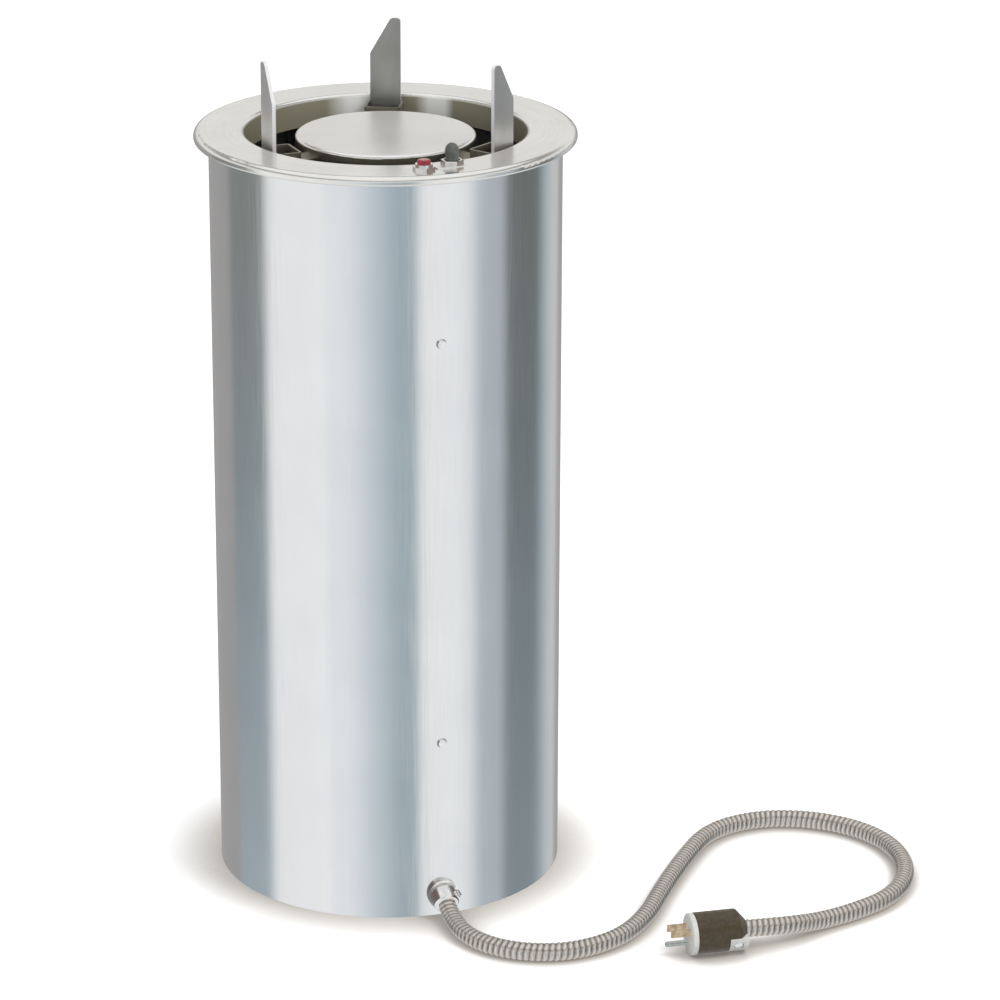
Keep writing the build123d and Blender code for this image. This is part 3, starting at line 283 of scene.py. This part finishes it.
def brushed_bar(name, light, dark, roughness, marks=0.000004):
    """Bar or folded sheet brushed along its length."""
    material, shader = new_material(name, light, roughness, 1.0)
    lines = noise(material, object_point(material, along_the_bar), 1500, 3)
    stain = noise(material, object_point(material), 30, 4)
    tint(material, shader, spread(material, stain, 0.0, 1.0), light, dark)
    wire(material, spread(material, lines, roughness - 0.05, roughness + 0.1), shader.inputs["Roughness"])
    raise_surface(material, shader, [(lines, 1.0)], marks)
    return material


def post_steel(name, light, dark, painted_rear_shade_light, painted_rear_shade_dark, edge, roughness):
    """Flat guide post: brushed faces, with painted shade that makes the rear one darker, and ground edges made
    near-white partly as a painted highlight.
    """
    material, shader = new_material(name, light, roughness, 1.0)
    tree = material.node_tree
    lines = noise(material, object_point(material, along_the_bar), 900, 1)
    stain = noise(material, object_point(material, (1, 1, 0.4)), 38, 3)
    # Painted shade: the post at the rear takes darker tones.
    painted_rear_shade = maths(tree, "GREATER_THAN", split(material, object_point(material))["Y"], rear_post_line)
    worn = spread(material, stain, 0.0, 1.0)
    face = mixed(tree, painted_rear_shade, mixed(tree, worn, light, dark), mixed(tree, worn, painted_rear_shade_light, painted_rear_shade_dark))
    normal = facing(material)
    most = 0.0
    for angle in post_angles:
        across = tree.nodes.new("ShaderNodeVectorMath")
        across.operation = "DOT_PRODUCT"
        across.inputs[1].default_value = (math.cos(angle), math.sin(angle), 0)
        wire(material, normal, across.inputs[0])
        most = maths(tree, "MAXIMUM", maths(tree, "ABSOLUTE", across.outputs["Value"]), most)
    # Painted highlight: the narrow edges take a near-white, less metallic tone, partly for their grinding.
    ground = maths(tree, "LESS_THAN", most, post_face_limit)
    wire(material, mixed(tree, ground, face, edge), shader.inputs["Base Color"])
    edge_loss = maths(tree, "MULTIPLY", ground, highlit_ground_edge_dullness)
    wire(material, maths(tree, "SUBTRACT", post_metallic, edge_loss), shader.inputs["Metallic"])
    wire(material, spread(material, lines, roughness - 0.02, roughness + 0.03), shader.inputs["Roughness"])
    raise_surface(material, shader, [(lines, 1.0)], 0.0000006)
    return material


def plated(name, light, dark, roughness, side_shade=None):
    """Bright plating with a trace of handling, and painted shade on the sides that face left and right where a
    shade tone is given.
    """
    material, shader = new_material(name, light, roughness, 1.0)
    tree = material.node_tree
    point = object_point(material)
    wear = noise(material, point, 220, 4)
    plate = tint(material, shader, spread(material, wear, 0.0, 1.0), light, dark)
    # Painted shade: faces turned to the left and right take the darker tone.
    if side_shade:
        across = maths(tree, "ABSOLUTE", split(material, facing(material))["X"])
        painted_side_mask = spread(material, across, 0.0, 1.0, *painted_side_facing)
        wire(material, mixed(tree, painted_side_mask, plate, side_shade), shader.inputs["Base Color"])
    wire(material, spread(material, wear, roughness, roughness + 0.12), shader.inputs["Roughness"])
    raise_surface(material, shader, [(noise(material, point, 900, 2), 1.0)], 0.000004)
    return material


def moulded(name, light, dark, roughness, grain=0.00002):
    """Moulded rubber or plastic with a fine skin texture."""
    material, shader = new_material(name, light, roughness)
    point = object_point(material)
    mottle = noise(material, point, 260, 4)
    tint(material, shader, spread(material, mottle, 0.0, 1.0), light, dark)
    wire(material, spread(material, mottle, roughness - 0.06, roughness + 0.08), shader.inputs["Roughness"])
    raise_surface(material, shader, [(noise(material, point, 1300, 3), 1.0)], grain)
    return material


def mineral_wool(name, light, dark):
    """Matted fibres."""
    material, shader = new_material(name, light, 0.95)
    fibres = noise(material, object_point(material, (1, 1, 3)), 420, 6)
    clumps = noise(material, object_point(material), 60, 3)
    tint(material, shader, spread(material, clumps, 0.0, 1.0), light, dark)
    raise_surface(material, shader, [(fibres, 1.0), (clumps, 2.0)], 0.0004)
    shader.inputs["Sheen Weight"].default_value = 0.3
    return material


def red_lens(name):
    """Clear red lens, mottled between two deeper tones."""
    material, shader = new_material(name, (0.42, 0.012, 0.03), 0.16)
    point = object_point(material)
    tint(material, shader, spread(material, noise(material, point, 320, 2), 0.0, 1.0),
         (0.36, 0.008, 0.02), (0.22, 0.005, 0.012))
    raise_surface(material, shader, [(noise(material, point, 500, 1), 1.0)], 0.00001)
    shader.inputs["Coat Weight"].default_value = 0.5
    shader.inputs["Coat Roughness"].default_value = 0.04
    shader.inputs["Emission Color"].default_value = (0.8, 0.01, 0.02, 1)
    shader.inputs["Emission Strength"].default_value = 0.03
    return material


def wound_strip(name):
    """Interlocked strip: bright crowns, with painted shade in the groove between turns."""
    material, shader = new_material(name, (0.50, 0.46, 0.42), 0.3, 1.0)
    crown = material.node_tree.nodes.new("ShaderNodeAttribute")
    crown.attribute_name = "crown"
    # Painted shade: dark brown in the groove, where the crown height is low.
    tint(material, shader, crown.outputs["Fac"], (0.12, 0.085, 0.06), (0.72, 0.675, 0.635))
    wear = noise(material, object_point(material), 500, 4)
    wire(material, spread(material, wear, 0.22, 0.4), shader.inputs["Roughness"])
    raise_surface(material, shader, [(wear, 1.0)], 0.00001)
    return material


finishes = {
    "satin_stainless": rolled_sheet("satin shell sheet", (0.80, 0.81, 0.815), (0.77, 0.78, 0.79), 0.17),
    "spun_flange": spun_sheet("spun flange sheet", (0.84, 0.835, 0.815), (0.80, 0.79, 0.765), 0.2),
    "well_sheet": brushed_bar("dull well sheet", (0.36, 0.40, 0.42), (0.27, 0.30, 0.32), 0.42),
    # Post tones: the front posts, the rear post's painted shade, and the edges' painted highlight.
    "post_bar": post_steel("brushed post bar", (0.74, 0.725, 0.715), (0.64, 0.625, 0.615), (0.44, 0.44, 0.42),
                           (0.34, 0.34, 0.32), (0.9, 0.9, 0.9), 0.36),
    "carrier_steel": brushed_bar("carrier sheet", (0.40, 0.375, 0.31), (0.30, 0.28, 0.23), 0.5),
    "spring_steel": plated("drawn spring wire", (0.45, 0.45, 0.46), (0.33, 0.33, 0.34), 0.28),
    # Fasteners: painted shade on the sides that face left and right.
    "fastener": plated("plated fastener", (0.82, 0.82, 0.82), (0.7, 0.7, 0.71), 0.12, (0.36, 0.30, 0.28)),
    "nylon": moulded("black nylon", (0.035, 0.035, 0.036), (0.022, 0.022, 0.023), 0.42),
    "bumper_rubber": moulded("bumper rubber", (0.022, 0.022, 0.022), (0.014, 0.014, 0.014), 0.7),
    "boot_rubber": moulded("boot rubber", (0.13, 0.14, 0.125), (0.085, 0.09, 0.075), 0.4, 0.00003),
    "wool": mineral_wool("mineral wool", (0.66, 0.6, 0.42), (0.5, 0.44, 0.29)),
    "heater_sheath": plated("oxidised heater sheath", (0.2, 0.18, 0.165), (0.1, 0.085, 0.075), 0.5),
    "control_plastic": moulded("phenolic moulding", (0.03, 0.028, 0.026), (0.02, 0.018, 0.017), 0.35),
    "lens_red": red_lens("red pilot lens"),
    "legend_metal": plated("bright legend plate", (0.97, 0.97, 0.96), (0.93, 0.93, 0.92), 0.3),
    # Connector: painted shade on the sides that face left and right.
    "connector_zinc": plated("zinc connector", (0.9, 0.9, 0.89), (0.78, 0.77, 0.76), 0.14,
                             (0.20, 0.15, 0.13)),
    "conduit_steel": wound_strip("wound conduit strip"),
    "plug_dark": moulded("dark plug body", (0.066, 0.047, 0.02), (0.046, 0.032, 0.013), 0.34),
    "plug_pale": moulded("pale plug face", (0.78, 0.78, 0.76), (0.7, 0.69, 0.66), 0.45),
    "blade_brass": plated("plug brass", (0.66, 0.52, 0.36), (0.42, 0.31, 0.21), 0.24),
    "pin_steel": plated("plated pin", (0.46, 0.49, 0.48), (0.34, 0.36, 0.36), 0.22),
}

for part in frame["record"]["subparts"]:
    packed = frame["nodes"][part["node"]]
    packed.data.materials.clear()
    packed.data.materials.append(finishes[part["material_slot"]])


# New pieces

def add_piece(name, mesh, finish, body, smooth=True):
    """Links a finished mesh as a piece of the object with a material slot of the record."""
    mesh.materials.clear()
    mesh.materials.append(finishes[finish])
    for face in mesh.polygons:
        face.use_smooth = smooth
    piece = bpy.data.objects.new(name, mesh)
    bpy.context.scene.collection.objects.link(piece)
    if body:
        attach(piece, body)
    return piece


def curve_line(route, order, steps):
    """Points along the smooth spline that a route's control points give."""
    curve = bpy.data.curves.new("route", "CURVE")
    curve.dimensions = "3D"
    curve.resolution_u = steps
    spline = curve.splines.new("NURBS")
    spline.points.add(len(route) - 1)
    for control, place in zip(spline.points, route):
        control.co = (*place, 1)
    spline.order_u = order
    spline.use_endpoint_u = True
    holder = bpy.data.objects.new("route", curve)
    line = bpy.data.meshes.new_from_object(holder)
    points = [vertex.co.copy() for vertex in line.vertices]
    bpy.data.objects.remove(holder)
    bpy.data.curves.remove(curve)
    bpy.data.meshes.remove(line)
    return points


def even_steps(points, step):
    """The same line at even distances, as (point, direction, distance) triples."""
    ends = [0.0]
    for a, b in zip(points, points[1:]):
        ends.append(ends[-1] + (b - a).length)
    count = round(ends[-1] / step)
    stations = []
    index = 0
    for number in range(count + 1):
        distance = ends[-1] * number / count
        while index < len(points) - 2 and ends[index + 1] < distance:
            index += 1
        a, b = points[index], points[index + 1]
        share = (distance - ends[index]) / (ends[index + 1] - ends[index])
        stations.append((a.lerp(b, share), (b - a).normalized(), distance))
    return stations


# Flexible conduit: strip wound round the route, from the connector on the shell to the plug

conduit_radius = 7.9 * MM
conduit_pitch = 5.1 * MM
conduit_groove = 1.1 * MM
conduit_exit = (0.05393, -0.15661, 0.01452)
conduit_route = [
    conduit_exit, (0.0583, -0.1693, 0.008), (0.070, -0.204, 0.008), (0.095, -0.229, 0.008),
    (0.129, -0.240, 0.008), (0.166, -0.236, 0.008), (0.204, -0.210, 0.008), (0.228, -0.166, 0.008),
    (0.244, -0.107, 0.008), (0.266, -0.039, 0.008), (0.290, 0.020, 0.008), (0.336, 0.050, 0.008),
    (0.388, 0.049, 0.008), (0.434, 0.023, 0.008), (0.460, -0.019, 0.008), (0.465, -0.072, 0.008),
    (0.447, -0.121, 0.008), (0.412, -0.153, 0.008), (0.379, -0.174, 0.008), (0.3444, -0.2042, 0.0174),
    (0.3114, -0.2124, 0.0184),
]
conduit_sides = 24
conduit_order = 3
conduit_resolution = 16
steps_per_turn = 8
crown_roundness = 0.75


def wound_tube(stations, radius, pitch, groove, sides):
    """Interlocked strip: a sheet wrapped round the line and pressed in where the strip's edge runs."""
    rows = len(stations) - 1
    across = stations[0][1].orthogonal().normalized()
    frames = []
    for point, way, distance in stations:
        across = (across - way * across.dot(way)).normalized()
        frames.append((point, across, way.cross(across), distance))
    tube = bmesh.new()
    # Each point keeps its crown height, from which the material paints shade into the groove.
    crown_layer = tube.verts.layers.float.new("crown")
    bmesh.ops.create_grid(tube, x_segments=sides, y_segments=rows, size=1)
    for vertex in tube.verts:
        turn = round((vertex.co.x + 1) / 2 * sides) / sides
        point, across, other, distance = frames[round((vertex.co.y + 1) / 2 * rows)]
        crown = abs(math.sin(math.pi * (distance / pitch + turn))) ** crown_roundness
        reach = radius - groove * (1 - crown)
        angle = 2 * math.pi * turn
        vertex.co = point + (across * math.cos(angle) + other * math.sin(angle)) * reach
        vertex[crown_layer] = crown
    bmesh.ops.remove_doubles(tube, verts=tube.verts, dist=0.01 * MM)
    bmesh.ops.holes_fill(tube, edges=[edge for edge in tube.edges if edge.is_boundary])
    bmesh.ops.recalc_face_normals(tube, faces=tube.faces)
    mesh = bpy.data.meshes.new("conduit")
    tube.to_mesh(mesh)
    tube.free()
    return mesh


conduit_line = curve_line(conduit_route, conduit_order, conduit_resolution)
conduit_stations = even_steps(conduit_line, conduit_pitch / steps_per_turn)
conduit = add_piece(
    "flexible_conduit",
    wound_tube(conduit_stations, conduit_radius, conduit_pitch, conduit_groove, conduit_sides),
    "conduit_steel",
    "cabinet",
)
plug_pieces = ["plug_body", "plug_clamp", "clamp_screws", "plug_face", "plug_blades", "plug_ground_pin"]
for piece in [conduit] + [frame["nodes"][name] for name in plug_pieces]:
    piece.visible_glossy = False
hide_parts("conduit")


# Lift springs: nine close-wound extension springs with hooked ends, in three clusters

springs_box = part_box("lift_springs")
spring_wire = 0.75 * MM
spring_coil = 5.5 * MM - spring_wire
spring_pitch = 2.2 * MM
first_cluster = 121.45
cluster_radius = 128 * MM
spring_spacing = 13 * MM
coil_foot = 506 * MM
coil_top = 640 * MM
hook_below = 4 * MM
hook_above = 3 * MM
points_per_turn = 12


def spring_line():
    """One spring standing on the axis: lower hook, close coil, upper hook."""
    turns = (coil_top - coil_foot) / spring_pitch
    line = [Vector((0, 0, springs_box[0].z + spring_wire)), Vector((0, 0, coil_foot - hook_below))]
    for number in range(int(turns * points_per_turn) + 1):
        angle = 2 * math.pi * number / points_per_turn
        height = coil_foot + number / points_per_turn * spring_pitch
        line.append(Vector((spring_coil * math.cos(angle), spring_coil * math.sin(angle), height)))
    line.append(Vector((0, 0, coil_top + hook_above)))
    line.append(Vector((0, 0, springs_box[1].z - spring_wire)))
    return line


def wire_mesh(line, radius):
    """Round wire along a line of points."""
    curve = bpy.data.curves.new("wire", "CURVE")
    curve.dimensions = "3D"
    curve.bevel_depth = radius
    curve.bevel_resolution = 1
    curve.use_fill_caps = True
    spline = curve.splines.new("POLY")
    spline.points.add(len(line) - 1)
    for control, place in zip(spline.points, line):
        control.co = (*place, 1)
    holder = bpy.data.objects.new("wire", curve)
    mesh = bpy.data.meshes.new_from_object(holder)
    bpy.data.objects.remove(holder)
    bpy.data.curves.remove(curve)
    return mesh


one_spring = wire_mesh(spring_line(), spring_wire)
for cluster, cluster_name in enumerate(("left", "front", "right")):
    cluster_turn = Matrix.Rotation(math.radians(first_cluster + cluster * 120), 4, "Z")
    group = bmesh.new()
    for offset in (-spring_spacing, 0, spring_spacing):
        placed = one_spring.copy()
        placed.transform(cluster_turn @ Matrix.Translation((cluster_radius, offset, 0)))
        group.from_mesh(placed)
        bpy.data.meshes.remove(placed)
    spring_mesh = bpy.data.meshes.new(f"{cluster_name}_springs")
    group.to_mesh(spring_mesh)
    group.free()
    springs = add_piece(f"{cluster_name}_springs", spring_mesh, "spring_steel", None)
    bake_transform(springs)
    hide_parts("lift_springs")
bpy.data.meshes.remove(one_spring)


# Switch boot: a moulded rubber dome that narrows to its foot, over the toggle lever

boot_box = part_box("switch_boot")
boot_middle = (boot_box[0] + boot_box[1]) / 2
boot_foot = boot_box[0].z
boot_sides = 40
boot_profile = [
    (0.0, 14.8), (1.6, 14.6), (3.2, 13.8), (4.6, 12.4), (5.6, 10.4), (6.0, 8.2), (5.9, 6.0), (5.6, 3.6),
    (5.35, 1.6), (5.9, 0.9), (5.9, 0.0), (0.0, 0.0),
]
boot_build = bmesh.new()
boot_rim = [boot_build.verts.new((radius * MM, 0, height * MM)) for radius, height in boot_profile]
boot_edges = [boot_build.edges.new(pair) for pair in zip(boot_rim, boot_rim[1:])]
bmesh.ops.spin(boot_build, geom=boot_rim + boot_edges, axis=(0, 0, 1), angle=math.tau, steps=boot_sides,
                use_merge=True)
bmesh.ops.remove_doubles(boot_build, verts=boot_build.verts, dist=0.001 * MM)
bmesh.ops.recalc_face_normals(boot_build, faces=boot_build.faces)
bmesh.ops.translate(boot_build, verts=boot_build.verts, vec=(boot_middle.x, boot_middle.y, boot_foot))
boot_mesh = bpy.data.meshes.new("rubber_boot")
boot_build.to_mesh(boot_mesh)
boot_build.free()
boot = add_piece("rubber_boot", boot_mesh, "boot_rubber", "switch_lever")
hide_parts("switch_boot")


# Studio: floor, lamps and what the bright metal reflects

white = (1.0, 1.0, 1.0)
floor_radius = 6.0
floor_sides = 96
floor_lift = 0.5
shade_reach = 85 * MM
close_shade = (0.32, 0.29, 0.265)
middle_shade = (0.50, 0.475, 0.445)
shade_stops = [(0.2, close_shade), (0.62, middle_shade), (0.93, white)]

floor_mesh = bpy.data.meshes.new("floor")
floor_build = bmesh.new()
bmesh.ops.create_circle(floor_build, cap_ends=True, segments=floor_sides, radius=floor_radius)
floor_build.to_mesh(floor_mesh)
floor_build.free()
floor = bpy.data.objects.new("floor", floor_mesh)
floor.visible_glossy = False
bpy.context.scene.collection.objects.link(floor)

# White where it lies open, with a soft brown-grey shade close to what stands on it
floor_paint = bpy.data.materials.new("pale floor")
floor_paint.use_nodes = True
floor_nodes = floor_paint.node_tree.nodes
floor_shader = floor_nodes["Principled BSDF"]
floor_shader.inputs["Base Color"].default_value = (0.9, 0.9, 0.9, 1)
floor_shader.inputs["Roughness"].default_value = 1.0
floor_shader.inputs["Specular IOR Level"].default_value = 0.0
closeness = floor_nodes.new("ShaderNodeAmbientOcclusion")
closeness.samples = 12
closeness.inputs["Distance"].default_value = shade_reach
floor_shade = ramp(floor_paint.node_tree, closeness.outputs["AO"], shade_stops, 0, 1)
floor_glow = floor_nodes.new("ShaderNodeEmission")
seen = floor_nodes.new("ShaderNodeLightPath").outputs["Is Camera Ray"]
floor_sum = floor_nodes.new("ShaderNodeAddShader")
wire(floor_paint, floor_shade, floor_glow.inputs["Color"])
wire(floor_paint, floor_shade, floor_shader.inputs["Base Color"])
wire(floor_paint, maths(floor_paint.node_tree, "MULTIPLY", seen, floor_lift), floor_glow.inputs["Strength"])
wire(floor_paint, floor_shader.outputs["BSDF"], floor_sum.inputs[0])
wire(floor_paint, floor_glow.outputs["Emission"], floor_sum.inputs[1])
wire(floor_paint, floor_sum.outputs["Shader"], floor_nodes["Material Output"].inputs["Surface"])
floor_mesh.materials.append(floor_paint)


lamp_aim = Vector((0.1, 0, 0.3))


def soft_lamp(name, place, size, power, colour):
    """Square lamp aimed at the middle of the dispenser and hidden from reflections."""
    lamp = bpy.data.lights.new(name, "AREA")
    lamp.size = size
    lamp.energy = power
    lamp.color = colour
    holder = bpy.data.objects.new(name, lamp)
    holder.location = place
    holder.rotation_mode = "QUATERNION"
    holder.rotation_quaternion = (Vector(place) - lamp_aim).to_track_quat("Z", "Y")
    holder.visible_glossy = False
    holder.visible_camera = False
    bpy.context.scene.collection.objects.link(holder)


soft_lamp("key", (1.7, -1.0, 2.6), 1.2, 34, (1.0, 0.985, 0.96))
soft_lamp("fill", (-2.2, -1.8, 1.9), 1.6, 12, (0.96, 0.98, 1.0))

# The cards and gaps round the set, by the angle from the front towards the right, in degrees
beige = (0.39, 0.38, 0.375)
rear_slate = (0.235, 0.245, 0.23)
side_slate = (0.25, 0.26, 0.24)
front_card = (0.98, 0.98, 0.98)
strong_card = (1.0, 1.0, 1.0)
soft_white = (0.90, 0.92, 0.95)
pale_blue = (0.76, 0.81, 0.86)
mist_blue = (0.54, 0.61, 0.665)
steel_blue = (0.405, 0.485, 0.525)
right_card = (0.97, 0.975, 0.98)
silver = (0.86, 0.89, 0.92)
lilac_grey = (0.50, 0.55, 0.59)
dark_gap = (0.17, 0.18, 0.168)
strip_light = (0.62, 0.62, 0.63)
cards = [
    (-180, beige), (-124, beige), (-118, rear_slate), (-88, side_slate), (-80, front_card),
    (-52, front_card), (-42, strong_card), (-35, soft_white), (-25, soft_white), (-16, pale_blue),
    (-1, mist_blue), (9, steel_blue), (20, steel_blue), (23, right_card), (49, right_card), (57, silver),
    (66, lilac_grey), (82, lilac_grey), (89, dark_gap), (117, dark_gap), (127, steel_blue),
    (138, strip_light), (150, strip_light), (156, beige), (180, beige),
]
# Light from the floor that fills the two dark gaps towards the foot
gap_zone = [(-180, 0.0), (-124, 0.0), (-118, 1.0), (-86, 1.0), (-79, 0.0), (83, 0.0), (90, 0.62), (118, 0.62),
            (126, 0.0), (180, 0.0)]
floor_spill = [(-1.0, (0.17, 0.23, 0.29)), (-0.41, (0.17, 0.23, 0.29)), (-0.33, (0.02, 0.055, 0.10)),
               (-0.27, (0.0, 0.0, 0.0)), (1.0, (0.0, 0.0, 0.0))]
# What lies above and below them, by the height of the direction from -1 straight down to 1 straight up
pale_floor = (0.86, 0.86, 0.85)
cream_wall = (0.89, 0.88, 0.85)
wall_gap = (0.30, 0.30, 0.29)
overhead = (1.0, 1.0, 1.0)
heights = [
    (-1.0, pale_floor), (-0.5, pale_floor), (0.1, cream_wall), (0.42, cream_wall), (0.52, wall_gap),
    (0.64, wall_gap), (0.72, overhead), (1.0, overhead),
]
card_zone = [(-1.0, 0.0), (-0.62, 0.0), (-0.5, 1.0), (0.08, 1.0), (0.2, 0.0), (1.0, 0.0)]
ambient = (0.60, 0.605, 0.61)

world = bpy.data.worlds.new("studio")
world.use_nodes = True
bpy.context.scene.world = world
sky = world.node_tree
look = sky.nodes.new("ShaderNodeTexCoord")
look_parts = sky.nodes.new("ShaderNodeSeparateXYZ")
sky.links.new(look.outputs["Generated"], look_parts.inputs["Vector"])
look_height = look_parts.outputs["Z"]
forwards = maths(sky, "MULTIPLY", look_parts.outputs["Y"], -1.0)
bearing = maths(sky, "ARCTAN2", look_parts.outputs["X"], forwards)
bearing_degrees = maths(sky, "MULTIPLY", bearing, 180 / math.pi)
gaps = ramp(sky, bearing_degrees, gap_zone, -180, 180)
spill = mixed(sky, 1.0, gaps, ramp(sky, look_height, floor_spill, -1, 1), "MULTIPLY")
card_colour = mixed(sky, 1.0, ramp(sky, bearing_degrees, cards, -180, 180), spill, "ADD")
above_and_below = ramp(sky, look_height, heights, -1, 1)
reflected = mixed(sky, ramp(sky, look_height, card_zone, -1, 1), above_and_below, card_colour)
path = sky.nodes.new("ShaderNodeLightPath")
unseen = mixed(sky, path.outputs["Is Glossy Ray"], ambient, reflected)
sky_colour = mixed(sky, path.outputs["Is Camera Ray"], unseen, white)
sky.links.new(sky_colour, sky.nodes["Background"].inputs["Color"])


# Camera: at the photograph's place and angle

camera_place = Vector((0.0992, -3.6635, 1.6245))
camera_pitch = math.radians(19.396)
camera_roll = 0.003285
camera_lens = 158.157

level_right = Vector((1, 0, 0))
forward = Vector((0, math.cos(camera_pitch), -math.sin(camera_pitch)))
level_up = level_right.cross(forward)
right = level_right * math.cos(camera_roll) + level_up * math.sin(camera_roll)
up = level_up * math.cos(camera_roll) - level_right * math.sin(camera_roll)
camera_data = bpy.data.cameras.new("camera")
camera_data.lens = camera_lens
camera_data.sensor_width = 36
camera_data.clip_start = 0.05
camera_data.clip_end = 60
camera = bpy.data.objects.new("camera", camera_data)
camera.matrix_world = Matrix.Translation(camera_place) @ Matrix((right, up, -forward)).transposed().to_4x4()
bpy.context.scene.collection.objects.link(camera)
bpy.context.scene.camera = camera
bpy.context.scene.view_settings.view_transform = "Standard"
